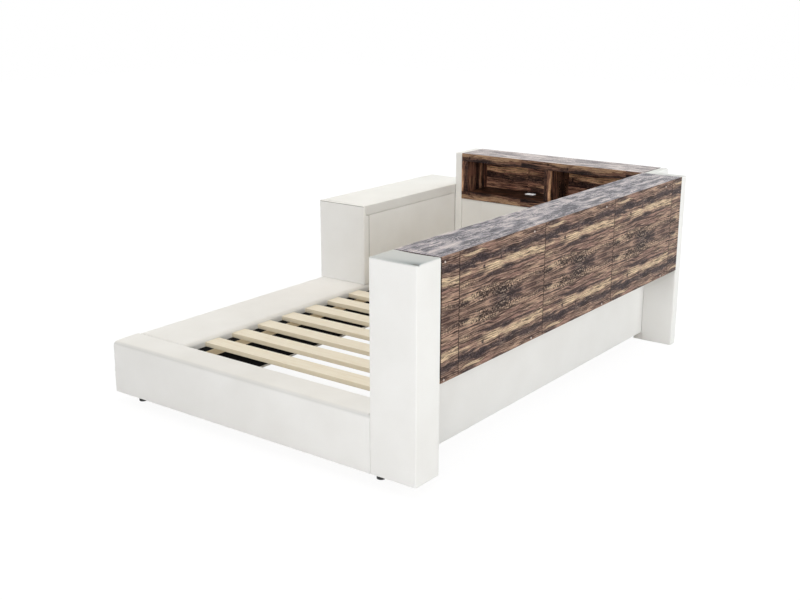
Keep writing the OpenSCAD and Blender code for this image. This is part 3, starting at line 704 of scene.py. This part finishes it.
def run_tree(name, base, tree, values):
    """Runs a tree on an object with the given inputs and returns a plain mesh object."""
    modifier = base.modifiers.new("Pattern", "NODES")
    modifier.node_group = tree
    for item in tree.interface.items_tree:
        if item.item_type == "SOCKET" and item.in_out == "INPUT" and item.name in values:
            modifier[item.identifier] = values[item.name]
    bpy.context.view_layer.update()
    ready = base.evaluated_get(bpy.context.evaluated_depsgraph_get())
    mesh = bpy.data.meshes.new_from_object(ready)
    mesh.name = name
    bpy.data.objects.remove(base)
    return new_object(name, mesh)


def end_tree(tree, copies, material, end):
    """Ends a geometry tree with real and painted copies."""
    real = add(tree, "GeometryNodeRealizeInstances", {0: copies})
    painted = add(
        tree, "GeometryNodeSetMaterial", {"Geometry": real.outputs[0], "Material": material}
    )
    tree.links.new(painted.outputs[0], end.inputs[0])


def rows_tree(material):
    """Bars with rounded long edges, side by side along Y."""
    tree, start, end = new_tree("Rows of bars", [
        ("Count", "NodeSocketInt", 12), ("First", "NodeSocketVector", (0, 0, 0)),
        ("Pitch", "NodeSocketFloat", 0.15), ("Length", "NodeSocketFloat", 1.0),
        ("Width", "NodeSocketFloat", 0.08), ("Thickness", "NodeSocketFloat", 0.02),
        ("Round", "NodeSocketFloat", 0.003), ("Material", "NodeSocketMaterial", material),
        ("Seed", "NodeSocketInt", 3),
    ])
    out = start.outputs
    step = add(tree, "ShaderNodeCombineXYZ", {1: out["Pitch"]})
    line = add(
        tree, "GeometryNodeMeshLine",
        {"Count": out["Count"], "Start Location": out["First"], "Offset": step.outputs[0]},
    )
    reach = add(tree, "ShaderNodeCombineXYZ", {0: out["Length"]})
    spine = add(
        tree, "GeometryNodeCurvePrimitiveLine", {"Start": (0, 0, 0), "End": reach.outputs[0]}
    )
    outline = add(
        tree, "GeometryNodeCurvePrimitiveQuadrilateral",
        {"Width": out["Width"], "Height": out["Thickness"]},
    )
    eased = add(
        tree, "GeometryNodeFilletCurve",
        {"Curve": outline.outputs[0], "Radius": out["Round"], "Count": 3}, mode="POLY",
    )
    bar = add(
        tree, "GeometryNodeCurveToMesh",
        {"Curve": spine.outputs[0], "Profile Curve": eased.outputs[0], "Fill Caps": True},
    )
    many = add(
        tree, "GeometryNodeInstanceOnPoints",
        {"Points": line.outputs[0], "Instance": bar.outputs[0]},
    )
    chance = add(
        tree, "FunctionNodeRandomValue", {2: 0.0, 3: 1.0, "Seed": out["Seed"]}, data_type="FLOAT"
    )
    marked = add(
        tree, "GeometryNodeStoreNamedAttribute",
        {"Geometry": many.outputs[0], "Name": "board", "Value": chance.outputs[1]},
        data_type="FLOAT", domain="INSTANCE",
    )
    end_tree(tree, marked.outputs[0], out["Material"], end)
    return tree


def repeated(name, source, places, turn, material):
    """A turned body repeated at places by geometry nodes, as one plain mesh."""
    mesh = bpy.data.meshes.new(name + "_places")
    mesh.from_pydata(places, [], [])
    layer = mesh.attributes.new("turn", "FLOAT_VECTOR", "POINT")
    layer.data.foreach_set("vector", [angle for _ in places for angle in turn])
    tree, start, end = new_tree("Copies on points", [
        ("Body", "NodeSocketObject", None), ("Material", "NodeSocketMaterial", material),
        ("Size", "NodeSocketFloat", 1.0),
    ])
    out = start.outputs
    body = add(tree, "GeometryNodeObjectInfo", {"Object": out["Body"]})
    turned = add(
        tree, "GeometryNodeInputNamedAttribute", {"Name": "turn"}, data_type="FLOAT_VECTOR"
    )
    angle = add(tree, "FunctionNodeEulerToRotation", {0: turned.outputs[0]})
    size = add(tree, "ShaderNodeCombineXYZ", {0: out["Size"], 1: out["Size"], 2: out["Size"]})
    many = add(
        tree, "GeometryNodeInstanceOnPoints",
        {"Points": out["Geometry"], "Instance": body.outputs["Geometry"],
         "Rotation": angle.outputs[0], "Scale": size.outputs[0]},
    )
    end_tree(tree, many.outputs[0], out["Material"], end)
    base = new_object(name + "_places", mesh)
    piece = run_tree(name, base, tree, {"Body": source, "Material": material, "Size": 1.0})
    bpy.data.objects.remove(source)
    return piece


class UpholsterySettings(bpy.types.PropertyGroup):
    """Sizes and tone of the leather and its padding."""

    tone: bpy.props.FloatVectorProperty(
        name="Leather", description="Colour of the leather", subtype="COLOR", size=4,
        min=0, max=1, default=srgb(244, 243, 240),
    )
    fold: bpy.props.FloatProperty(
        name="Soft fold", description="Radius of the rails' outer top edges", unit="LENGTH",
        default=0.018,
    )
    tight: bpy.props.FloatProperty(
        name="Tight edge", description="Radius of edges drawn over a board", unit="LENGTH",
        default=0.005,
    )
    hem: bpy.props.FloatProperty(
        name="Hem edge", description="Radius of edges that meet others or end below",
        unit="LENGTH", default=0.0015,
    )
    crown: bpy.props.FloatProperty(
        name="Crown", description="Height of a face's middle above its edges", unit="LENGTH",
        default=0.0025,
    )
    lid_reveal: bpy.props.FloatProperty(
        name="Lid reveal", description="How far lid and walls lap into the gap between them",
        unit="LENGTH", default=0.0008,
    )
    foot_depth: bpy.props.FloatProperty(
        name="Foot depth", description="Depth of the padded foot below the headboard's right end",
        unit="LENGTH", default=0.060,
    )
    panel_seam: bpy.props.FloatProperty(
        name="Panel seam", description="From the headboard panel's end to its seam", unit="LENGTH",
        default=0.128,
    )


class FixingSettings(bpy.types.PropertyGroup):
    """Sizes of the small parts."""

    slat_round: bpy.props.FloatProperty(
        name="Slat edge", description="Radius of a slat's long edges", unit="LENGTH",
        default=0.0025,
    )
    edge: bpy.props.FloatProperty(
        name="Glide edge", description="Radius of a glide's lower edge", unit="LENGTH",
        default=0.002,
    )
    board_gap: bpy.props.FloatProperty(
        name="Board gap", description="Gap between the boards of the bookcase's back",
        unit="LENGTH", default=0.0001,
    )
    board_ease: bpy.props.FloatProperty(
        name="Board edge", description="Chamfer of the bookcase's back boards",
        unit="LENGTH", default=0.0005,
    )
    # Painted light: the plate glows to look bright in the cubby's shade; it is no lamp.
    plate_painted_glow: bpy.props.FloatProperty(
        name="Plate glow", description="Strength of the charging plate's night light",
        default=0.44,
    )
    cap_rise: bpy.props.FloatProperty(
        name="Cap rise", description="How far a screw cap stands proud", unit="LENGTH",
        default=0.002,
    )


class StudioSettings(bpy.types.PropertyGroup):
    """Camera and light."""

    eye: bpy.props.FloatVectorProperty(
        name="Camera", description="Place of the camera", subtype="TRANSLATION",
        default=(2.7786, -3.8900, 1.6799),
    )
    aim: bpy.props.FloatVectorProperty(
        name="Aim", description="Tilt, roll and turn of the camera", subtype="EULER",
        default=(math.radians(73.967), math.radians(-0.05), math.radians(36.957)),
    )
    lens: bpy.props.FloatProperty(
        name="Lens", description="Focal length on a 36 mm sensor", default=50.13,
    )
    overhead: bpy.props.FloatProperty(
        name="Overhead light", description="Power of the softbox above", unit="POWER",
        default=134,
    )
    front: bpy.props.FloatProperty(
        name="Front light", description="Power of the softbox before the foot", unit="POWER",
        default=149,
    )
    near: bpy.props.FloatProperty(
        name="Near light", description="Power of the softbox beside the camera", unit="POWER",
        default=31,
    )
    side: bpy.props.FloatProperty(
        name="Side light", description="Power of the softbox beside the bookcase", unit="POWER",
        default=128,
    )
    head: bpy.props.FloatProperty(
        name="Head light", description="Power of the softbox behind the headboard", unit="POWER",
        default=112,
    )
    far: bpy.props.FloatProperty(
        name="Far light", description="Power of the softbox beyond the ledge", unit="POWER",
        default=133,
    )
    ambient: bpy.props.FloatProperty(
        name="Ambient", description="Brightness of the room", default=0.09,
    )


# The tuck on the post's top, measured from its front and from its outer side.
TUCK_PLACE = 0.013
TUCK_INSET = 0.016


def upholster(piece, body, *nodes):
    """Gives a padded body its leather, its body and the nodes that it stands for."""
    dress(piece, bpy.data.materials["White leather"], body, "leather", *nodes)


def leather_piece(
    name, node, body, axis, corners, ends, crown, grow=(0, 0, 0), drop=(0, 0, 0), **more,
):
    """A padded cover in the place of its node, its upper or lower corner moved out if given."""
    low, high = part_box(node)
    low, high = low - Vector(drop), high + Vector(grow)
    upholster(padded_body(name, low, high, axis, corners, ends, crown, **more), body, node)


def rail_fold_shade(strength, reach, rise):
    """Painted shade that greys a rail's top front fold, where the leather turns over the foam."""
    steepness = 1.6

    def share(points, normal, low, high):
        forward, up = -normal[:, 1] * steepness, normal[:, 2] * steepness
        facing = np.clip(forward, 0, 1) * np.clip(up, 0, 1)
        return strength * bell(points[:, 2] - (high[2] - rise), reach) * facing
    return share


def even_shade(axis, strength):
    """Painted shade: an even share of grey or dark shade for the faces that look along an axis."""
    def share(points, normal, low, high):
        return strength * normal[:, axis].clip(0, 1) ** 3
    return share


def foot_rail_settle(points, normal, low, high):
    """The rail's top sinks a little towards its front."""
    reach, depth = 0.060, 0.004
    move = np.zeros_like(points)
    near = np.clip(1 - (points[:, 1] - low[1]) / reach, 0, 1)
    move[:, 2] = -depth * near ** 2 * np.clip(normal[:, 2], 0, 1)
    return move


def post_top_shade(points, normal, low, high):
    """Painted shade that greys the post's top, most of all towards the outer front corner."""
    even, corner_grey, tuck_grey = 0.54, 0.26, 0.3
    tuck_place, tuck_reach = 0.020, 0.018
    share = (points - low) / (high - low)
    towards = np.clip(0.55 * share[:, 0] + 0.45 * (1 - share[:, 1]), 0, 1)
    behind = bell(points[:, 1] - low[1] - tuck_place, tuck_reach) * share[:, 0]
    grey = np.clip(even + corner_grey * towards ** 2 + tuck_grey * behind, 0, 1)
    return np.clip(normal[:, 2], 0, 1) ** 3 * grey


def post_tuck_shade(points, normal, low, high):
    """Painted shade in the pinched wedge of the fold behind the post's outer front corner."""
    dark, reach = 0.9, 0.0045
    tuck = bell(points[:, 1] - low[1] - TUCK_PLACE, reach)
    wedge = bell(high[0] - TUCK_INSET - points[:, 0], TUCK_INSET)
    return dark * tuck * wedge * normal[:, 2].clip(0, 1)


def rail_pinch_shade(points, normal, low, high):
    """Painted shade in the pinch where the foot rail's top fold runs into the post."""
    dark, place, reach = 0.7, 0.014, 0.010
    tuck = bell(points[:, 1] - low[1] - place, reach) * normal[:, 2].clip(0, 1)
    return dark * tuck * bell(high[0] - points[:, 0], reach)


def post_settle(points, normal, low, high):
    """The fold at the post's outer front corner, where the top panel is tucked in."""
    tuck_depth, tuck_length, tuck_place, tuck_reach = 0.0035, 0.055, 0.010, 0.008
    hollow_depth, top_depth = 0.002, 0.01
    move = np.zeros_like(points)
    behind = bell(points[:, 1] - low[1] - tuck_place, tuck_reach)
    tuck = bell(high[0] - points[:, 0], tuck_length) * behind
    top = np.clip(normal[:, 2], 0, 1)
    move[:, 2] = -tuck_depth * tuck * top
    hollow = falloff((points[:, 0] - low[0]) / (high[0] - low[0]) * 2 - 1, 2)
    move[:, 2] -= hollow_depth * hollow * top * (points[:, 2] > high[2] - top_depth)
    return move


class BED_OT_rails(bpy.types.Operator):
    """Padded foot rail, side ledge, side rail, post and end panel"""

    bl_idname = "bed.rails"
    bl_label = "Padded rails"

    def execute(self, context):
        s = context.scene.bed_upholstery
        hem, tight, fold, crown = s.hem, s.tight, s.fold, s.crown
        outer_end, snug, fine_cell, tuck_dip = 0.004, tight * 0.6, 0.010, 0.0004
        # The foot rail gets painted shade on its top front fold and in the pinch at the post.
        leather_piece(
            "foot_rail_leather", "foot_rail_cover", "frame", 0, (hem, hem, tight, fold),
            (outer_end, hem), {"y-": crown, "z+": crown * 0.4}, seed=1,
            turned=rail_fold_shade(0.30, 0.008, 0.005), creased=rail_pinch_shade, settle=foot_rail_settle,
        )
        # Painted shade darkens the ledge's inner face.
        leather_piece(
            "ledge_leather", "ledge_cover", "frame", 1, (hem, hem, fold, fold),
            (hem, tight), {"x-": crown, "z+": crown * 0.6}, seed=2, creased=even_shade(0, 0.08),
        )
        leather_piece(
            "side_rail_leather", "side_rail_cover", "frame", 1, (hem, hem, hem, hem), (hem, hem),
            {"x+": crown * 0.6}, seed=3,
        )
        low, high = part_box("post_cover")
        # The post's top gets painted grey shade and painted dark shade in the tuck's wedge.
        leather_piece(
            "post_leather", "post_cover", "frame", 2, (snug, tight * 0.7, snug, snug),
            (hem, tight * 2.0), {"y-": crown * 0.6, "x+": crown * 0.4}, seed=4, cell=fine_cell,
            turned=post_top_shade, creased=post_tuck_shade, settle=post_settle,
            seams=[
                ("z+", 1, low.y + TUCK_PLACE, tuck_dip, 0.0),
                ("z+", 0, high.x - TUCK_INSET, 0.0, 0.0),
            ],
        )
        # Painted shade greys the rear end's top.
        leather_piece(
            "rear_end_leather", "rear_end_cover", "frame", 2, (hem, tight, tight, hem),
            (hem, tight), {"y+": crown}, seed=5, turned=even_shade(2, 0.40),
        )
        return {"FINISHED"}


class BED_OT_headboard(bpy.types.Operator):
    """Padded ends and panel of the headboard"""

    bl_idname = "bed.headboard"
    bl_label = "Padded headboard"

    def execute(self, context):
        s = context.scene.bed_upholstery
        foot_gap, welt = 0.2 * MM, -0.0020
        # grey is the painted shade on each end's top.
        for side, seed, grey in (("left", 6, 0.0), ("right", 7, 0.3)):
            leather_piece(
                f"head_{side}_leather", f"head_{side}_cover", "frame", 2, (s.tight,) * 4,
                (s.hem, s.tight), {}, seed=seed, turned=even_shade(2, grey),
            )
        low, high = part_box("head_right_cover")
        foot = padded_body(
            "head_right_foot", (low.x, low.y, 0),
            (high.x, low.y + s.foot_depth, low.z - foot_gap), 2,
            (s.hem,) * 4, (s.hem, s.hem), {}, seed=14,
        )
        upholster(foot, "frame")
        low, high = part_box("head_panel_pad")
        leather_piece(
            "head_panel_leather", "head_panel_pad", "frame", 0, (s.tight,) * 4,
            (s.tight, s.tight), {"y-": s.crown}, seed=8,
            seams=[
                ("y-", 0, place, welt, 0.0)
                for place in (low.x + s.panel_seam, high.x - s.panel_seam)
            ],
        )
        return {"FINISHED"}


class BED_OT_storage_arm(bpy.types.Operator):
    """Padded walls and lid of the storage arm"""

    bl_idname = "bed.storage_arm"
    bl_label = "Padded storage arm"

    def execute(self, context):
        s = context.scene.bed_upholstery
        hem, tight = s.hem, s.tight
        fine_cell, piping, back_edge = 0.012, 0.0042, 0.001
        # The joints' darkness is painted shade in the joints between the panels.
        joint_inset, joint_depth, joint_shade = 0.0014, 0.0008, 0.95
        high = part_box("arm_front_cover")[1]
        # Painted shade darkens the front's piping line and its top's back edge.
        leather_piece(
            "arm_front_leather", "arm_front_cover", "frame", 2, (tight, tight * 1.4, hem, hem),
            (hem, tight * 0.8), {"y-": s.crown}, seed=9, cell=fine_cell,
            seams=[
                ("y-", 2, high.z - piping, 0.0012, 0.8),
                ("z+", 1, high.y - back_edge, 0.0004, 0.5),
            ],
        )
        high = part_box("arm_end_cover")[1]
        leather_piece(
            "arm_end_leather", "arm_end_cover", "frame", 2, (hem, hem, tight, hem), (hem, hem),
            {}, seed=10, seams=[("x+", 1, high.y - joint_inset, joint_depth, joint_shade)],
        )
        for side, face, seed in (("inner", "x+", 11), ("outer", "x-", 12)):
            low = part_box(f"arm_{side}_cover")[0]
            leather_piece(
                f"arm_{side}_leather", f"arm_{side}_cover", "frame", 1, (hem,) * 4, (hem, hem),
                {face: s.crown * 0.3}, seed=seed, grow=(0, 0, s.lid_reveal),
                seams=[(face, 1, low.y + joint_inset, joint_depth, joint_shade)],
            )
        # Painted shade darkens the lid's inner side, which faces the bed.
        leather_piece(
            "lid_leather", "lid_cover", "lid", 1, (hem, hem, tight * 0.7, tight * 1.1),
            (tight * 0.6, tight), {"z+": s.crown}, seed=13, drop=(0, 0, s.lid_reveal),
            creased=even_shade(0, 0.10),
        )
        return {"FINISHED"}


class BED_OT_boards(bpy.types.Operator):
    """Printed boards of both shelf units"""

    bl_idname = "bed.boards"
    bl_label = "Printed boards"

    def execute(self, context):
        plank_print()
        # Painted reflection: slate and rosy are pale sheens over the up-facing faces of the case
        # and the shelf top. Painted shade: shade darkens the cubby floors.
        slate = [
            (0.12, srgb(54, 52, 62)), (0.40, srgb(133, 129, 138)), (0.60, srgb(189, 179, 181)),
            (0.80, srgb(212, 202, 199)),
        ]
        rosy_reflection = [
            (0.12, srgb(112, 104, 108)), (0.36, srgb(172, 162, 163)), (0.60, srgb(206, 195, 193)),
            (0.85, srgb(224, 214, 210)),
        ]
        shade = [
            (0.2, srgb(22, 12, 9)), (0.45, srgb(66, 41, 31)), (0.7, srgb(122, 86, 68)),
            (0.9, srgb(152, 114, 92)),
        ]
        fixings = context.scene.bed_fixings
        cad_gap, panel_count, top_tile = MM, 3, 0.526
        top_inset, seam_place, shelf_rise = 0.07, 0.359, 0.125
        shelf_half, shelf_tone, shelf_shift = 0.242, (212, 190, 176), 0.069
        upright_inset, upright_widen = 0.135, 1.157
        panels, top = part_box("case_back_panels"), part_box("case_top")[1]
        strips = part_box("case_back_strips")
        middle = (strips[0].z + strips[1].z) / 2 + WRAP * panels[1].x
        tile = (panels[1].y - panels[0].y + cad_gap) / panel_count
        start = panels[0].y - cad_gap / 2
        boards = solids("case_back_panels") + solids("case_back_strips")
        boards.sort(key=lambda b: b[0].y)
        for (_, before), (after, _) in zip(boards, boards[1:]):
            between = (before.y + after.y) / 2
            before.y, after.y = between - fixings.board_gap / 2, between + fixings.board_gap / 2
        back = printed_board(
            "Printed back", 1, 2, start, middle, tile, tone=(269, 266, 264), joint=0.75
        )
        piece = eased_boxes("case_back_boards", boards, fixings.board_ease)
        dress(piece, back, "frame", "print_wood", "case_back_panels", "case_back_strips")
        paint(
            printed_board(
                "Printed top", 1, 0, start, top.x - top_inset + WRAP * top.z, top_tile, seed=4.0,
                depth=1.7, up=slate, sheen=0.18,
            ),
            "case_top", "case_floor",
        )
        paint(
            printed_board("Printed upright", 2, 1, 0.3, 0.02, tile, seed=7.0), "case_uprights"
        )
        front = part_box("shelf_top")
        seam = front[0].x + seam_place
        shelf_middle = front[1].z + shelf_rise + WRAP * front[0].y
        for node, label, up, sheen in (
            ("shelf_top", "Printed shelf top", rosy_reflection, 0.12),
            ("shelf_floor", "Printed shelf floor", shade, 0.07),
        ):
            paint(
                printed_board(
                    label, 0, 2, seam, shelf_middle, tile, shelf_half, 2.0, shelf_tone, 1.6,
                    up=up, sheen=sheen,
                ),
                node,
            )
        left = solids("shelf_uprights")[0][0]
        upright_middle = left.x + WRAP * left.y - upright_inset / upright_widen
        # The warmer tone is partly the boards' own colour and partly painted warm shade inside the
        # cubbies.
        paint(
            printed_board(
                "Printed shelf upright", 2, 0, 0.3, upright_middle, tile, seed=9.0,
                tone=(268, 232, 202), depth=1.7, widen=upright_widen,
            ),
            "shelf_uprights",
        )
        # The warmer tone is partly the boards' own colour and partly painted warm shade inside the
        # cubbies.
        paint(
            printed_board(
                "Printed shelf back", 0, 2, seam - shelf_shift, 1.42, tile, seed=3.0,
                tone=(284, 246, 210), depth=1.7,
            ),
            "shelf_back",
        )
        return {"FINISHED"}


class BED_OT_slats(bpy.types.Operator):
    """Slats, ledgers, webbing and lining"""

    bl_idname = "bed.slats"
    bl_label = "Slatted base"

    def execute(self, context):
        wood = pine("Planed pine", srgb(244, 236, 218), srgb(227, 211, 180))
        boards = solids("slats")
        (low, high), last = boards[0], boards[-1]
        base = new_object("slat_rows", bpy.data.meshes.new("slat_rows"))
        piece = run_tree("slat_boards", base, rows_tree(wood), {
            "Count": len(boards),
            "First": (low.x, (low.y + high.y) / 2, (low.z + high.z) / 2),
            "Pitch": (last[0].y - low.y) / (len(boards) - 1),
            "Length": high.x - low.x,
            "Width": high.y - low.y,
            "Thickness": high.z - low.z,
            "Round": context.scene.bed_fixings.slat_round,
            "Material": wood,
            "Seed": 3,
        })
        dress(piece, wood, "frame", "pine", "slats")
        rough = pine("Rough pine", srgb(242, 230, 204), srgb(222, 202, 166))
        paint(rough, "left_ledger", "right_ledger")
        paint(
            speckled("Black cloth", srgb(9, 9, 10), srgb(24, 24, 26), 900.0, 0.95, 0.0004, 0.1),
            "rail_linings", "slat_straps",
        )
        return {"FINISHED"}


class BED_OT_fixings(bpy.types.Operator):
    """Screws, brackets, feet, hinge, hidden boards and the charging unit"""

    bl_idname = "bed.fixings"
    bl_label = "Fixings"

    def execute(self, context):
        steel = speckled(
            "Zinc plate", srgb(176, 178, 180), srgb(150, 152, 156), 700.0, 0.34, 0.00005, 0.5, 1.0,
            (1, 0.05, 1),
        )
        paint(
            steel, "corner_brackets", "bracket_bolts", "hinge_box_leaf", "hinge_pin",
            "hinge_box_screws", "hinge_lid_leaf", "hinge_lid_screws",
        )
        board = speckled(
            "Raw board", srgb(208, 190, 158), srgb(180, 158, 124), 260.0, 0.75, 0.0003, 0.3,
            stretch=(1, 1, 4),
        )
        paint(
            board, "foot_rail_frame", "ledge_frame", "side_rail_frame", "post_frame",
            "rear_end_frame", "head_left_frame", "head_right_frame", "head_cross_rail",
            "head_panel_board", "arm_front_board", "arm_end_frame", "arm_inner_board",
            "arm_outer_board", "arm_head_board", "arm_floor", "lid_board",
        )
        black = speckled("Black plastic", srgb(24, 24, 25), srgb(40, 40, 41), 500.0, 0.5, 0.0001)
        paint(black, "charging_unit")
        sizes = context.scene.bed_fixings
        feet = solids("feet")
        low, high = feet[0]
        top, tall, ease = (high.x - low.x) / 2, high.z - low.z, sizes.edge
        profile = [
            (top * 0.86, 0.0), (top * 0.93, ease * 0.3), (top * 0.95, ease),
            (top * 0.95, tall * 0.30), (top * 0.90, tall * 0.36), (top * 0.92, tall * 0.42),
            (top, tall * 0.9), (top, tall),
        ]
        places = [((a.x + b.x) / 2, (a.y + b.y) / 2, a.z) for a, b in feet]
        glides = repeated("glides", lathe("glide", profile, 40), places, (0, 0, 0), black)
        dress(glides, black, "frame", "black_plastic", "feet")

        caps = solids("case_screws")
        low, high = caps[0]
        reach, radius, rise = high.x - low.x, (high.y - low.y) / 2, sizes.cap_rise
        profile = [
            (radius * 0.45, 0.0), (radius * 0.45, reach - rise), (radius, reach - rise),
            (radius, reach - rise * 0.5), (radius * 0.92, reach - rise * 0.2),
            (radius * 0.6, reach), (radius * 0.2, reach),
        ]
        places = [(a.x, (a.y + b.y) / 2, (a.z + b.z) / 2) for a, b in caps]
        cream = speckled(
            "Screw cap", srgb(214, 200, 190), srgb(190, 174, 164), 900.0, 0.45, 0.00006
        )
        turn = (0, math.radians(90), 0)
        covers = repeated("screw_caps", lathe("screw_cap", profile, 24), places, turn, cream)
        dress(covers, cream, "frame", "white_plastic", "case_screws")
        white = speckled(
            "White plastic", srgb(243, 242, 240), srgb(232, 230, 228), 500.0, 0.35, 0.00004
        )
        # Painted light: the plate glows though it is no lamp.
        shader = found(white.node_tree, "BSDF_PRINCIPLED")
        shader.inputs["Emission Color"].default_value = (1, 1, 1, 1)
        shader.inputs["Emission Strength"].default_value = sizes.plate_painted_glow
        paint(white, "charging_plate")
        return {"FINISHED"}


def straight_rays(tree):
    """1 for rays from the camera, off gloss and through glass, and 0 for the rest."""
    seen = add(tree, "ShaderNodeLightPath").outputs
    return calc(
        tree, "MAXIMUM", seen["Is Camera Ray"],
        calc(tree, "MAXIMUM", seen["Is Glossy Ray"], seen["Is Transmission Ray"]),
    )


class BED_OT_stage(bpy.types.Operator):
    """Floor, light and camera"""

    bl_idname = "bed.stage"
    bl_label = "Studio"

    def execute(self, context):
        scene, s = context.scene, context.scene.bed_studio
        half, floor_glow, near_bed, off_bed, near_glow = 14.0, 1.05, 1.7, 3.6, 0.88
        floor = to_mesh(
            "studio_floor",
            [(-half, -half, 0), (half, -half, 0), (half, half, 0), (-half, half, 0)],
            [(0, 1, 2, 3)],
        )
        material, tree, shader = finish_material("Studio floor", 0.9, 0.0, 0.0)
        where = object_place(tree)
        tone = blend(tree, spots(tree, where, 3.0), srgb(246, 246, 246), srgb(240, 240, 240))
        tree.links.new(tone, shader.inputs["Base Color"])
        glow = add(tree, "ShaderNodeEmission", {"Color": (1, 1, 1, 1), "Strength": floor_glow})
        away = add(tree, "ShaderNodeVectorMath", {0: where}, operation="LENGTH").outputs["Value"]
        fade = spread(tree, away, near_bed, off_bed, near_glow, 1.0)
        share = calc(tree, "MULTIPLY", straight_rays(tree), fade)
        both = add(
            tree, "ShaderNodeMixShader", {0: share, 1: shader.outputs[0], 2: glow.outputs[0]}
        )
        tree.links.new(both.outputs[0], found(tree, "OUTPUT_MATERIAL").inputs["Surface"])
        floor.data.materials.append(material)

        world = bpy.data.worlds.new("Studio")
        scene.world = world
        world.use_nodes = True
        air = world.node_tree
        for node in list(air.nodes):
            air.nodes.remove(node)
        plain = add(
            air, "ShaderNodeBackground", {"Color": (0.99, 0.995, 1.0, 1), "Strength": s.ambient}
        )
        white = add(air, "ShaderNodeBackground", {"Color": (1, 1, 1, 1), "Strength": 1.0})
        both = add(
            air, "ShaderNodeMixShader",
            {0: straight_rays(air), 1: plain.outputs[0], 2: white.outputs[0]},
        )
        add(air, "ShaderNodeOutputWorld", {0: both.outputs[0]})

        # Name, power, place, turn in degrees, width and height, colour.
        lamps = [
            ("Overhead", s.overhead, (0, 0, 5.4), (0, 0, 0), (5.0, 5.0), (1.0, 0.90, 0.76)),
            ("Front", s.front, (1.9, -5.9, 2.6), (68, 0, 14), (3.6, 2.6), (0.95, 0.97, 1.0)),
            ("Near", s.near, (3.6, -4.6, 1.6), (80, 0, 38), (3.0, 2.4), (1.0, 1.0, 1.0)),
            ("Side", s.side, (5.2, 0.8, 2.4), (68, 0, 90), (3.6, 2.6), (0.97, 0.99, 1.0)),
            ("Head", s.head, (0, 5.0, 2.8), (62, 0, 180), (4.0, 2.4), (0.78, 0.93, 1.0)),
            ("Far", s.far, (-5.0, 0, 2.2), (70, 0, -90), (4.0, 2.4), (0.93, 0.96, 1.0)),
        ]
        for name, power, spot, turn, size, colour in lamps:
            data = bpy.data.lights.new(f"{name} softbox", "AREA")
            data.shape, data.size, data.size_y = "RECTANGLE", *size
            data.energy, data.color = power, colour
            lamp = new_object(f"{name} softbox", data)
            lamp.location, lamp.rotation_euler = spot, [math.radians(t) for t in turn]
            lamp.visible_glossy = False

        data = bpy.data.cameras.new("Camera")
        data.lens, data.sensor_width = s.lens, 36.0
        camera = new_object("Camera", data)
        camera.location, camera.rotation_euler = s.eye, Euler(s.aim, "XYZ")
        scene.camera = camera
        scene.view_settings.view_transform = "Standard"
        return {"FINISHED"}


class BED_PT_panel(bpy.types.Panel):
    """The bed's pieces and settings"""

    bl_idname = "BED_PT_panel"
    bl_label = "Upholstered bed"
    bl_space_type = "VIEW_3D"
    bl_region_type = "UI"
    bl_category = "Bed"

    def draw(self, context):
        scene = context.scene
        for settings in (scene.bed_upholstery, scene.bed_fixings, scene.bed_studio):
            box = self.layout.box()
            for name in settings.__annotations__:
                box.prop(settings, name)
        for kind in OPERATORS:
            self.layout.operator(kind.bl_idname)


OPERATORS = (
    BED_OT_rails, BED_OT_headboard, BED_OT_storage_arm, BED_OT_boards, BED_OT_slats,
    BED_OT_fixings, BED_OT_stage,
)
CLASSES = (UpholsterySettings, FixingSettings, StudioSettings, *OPERATORS, BED_PT_panel)


def register():
    for kind in CLASSES:
        bpy.utils.register_class(kind)
    bpy.types.Scene.bed_upholstery = bpy.props.PointerProperty(type=UpholsterySettings)
    bpy.types.Scene.bed_fixings = bpy.props.PointerProperty(type=FixingSettings)
    bpy.types.Scene.bed_studio = bpy.props.PointerProperty(type=StudioSettings)


def unregister():
    del bpy.types.Scene.bed_studio
    del bpy.types.Scene.bed_fixings
    del bpy.types.Scene.bed_upholstery
    for kind in reversed(CLASSES):
        bpy.utils.unregister_class(kind)


def main():
    register()
    faux_leather("White leather", tuple(bpy.context.scene.bed_upholstery.tone))
    for kind in OPERATORS:
        group, call = kind.bl_idname.split(".")
        getattr(getattr(bpy.ops, group), call)()


if __name__ == "__main__":
    main()
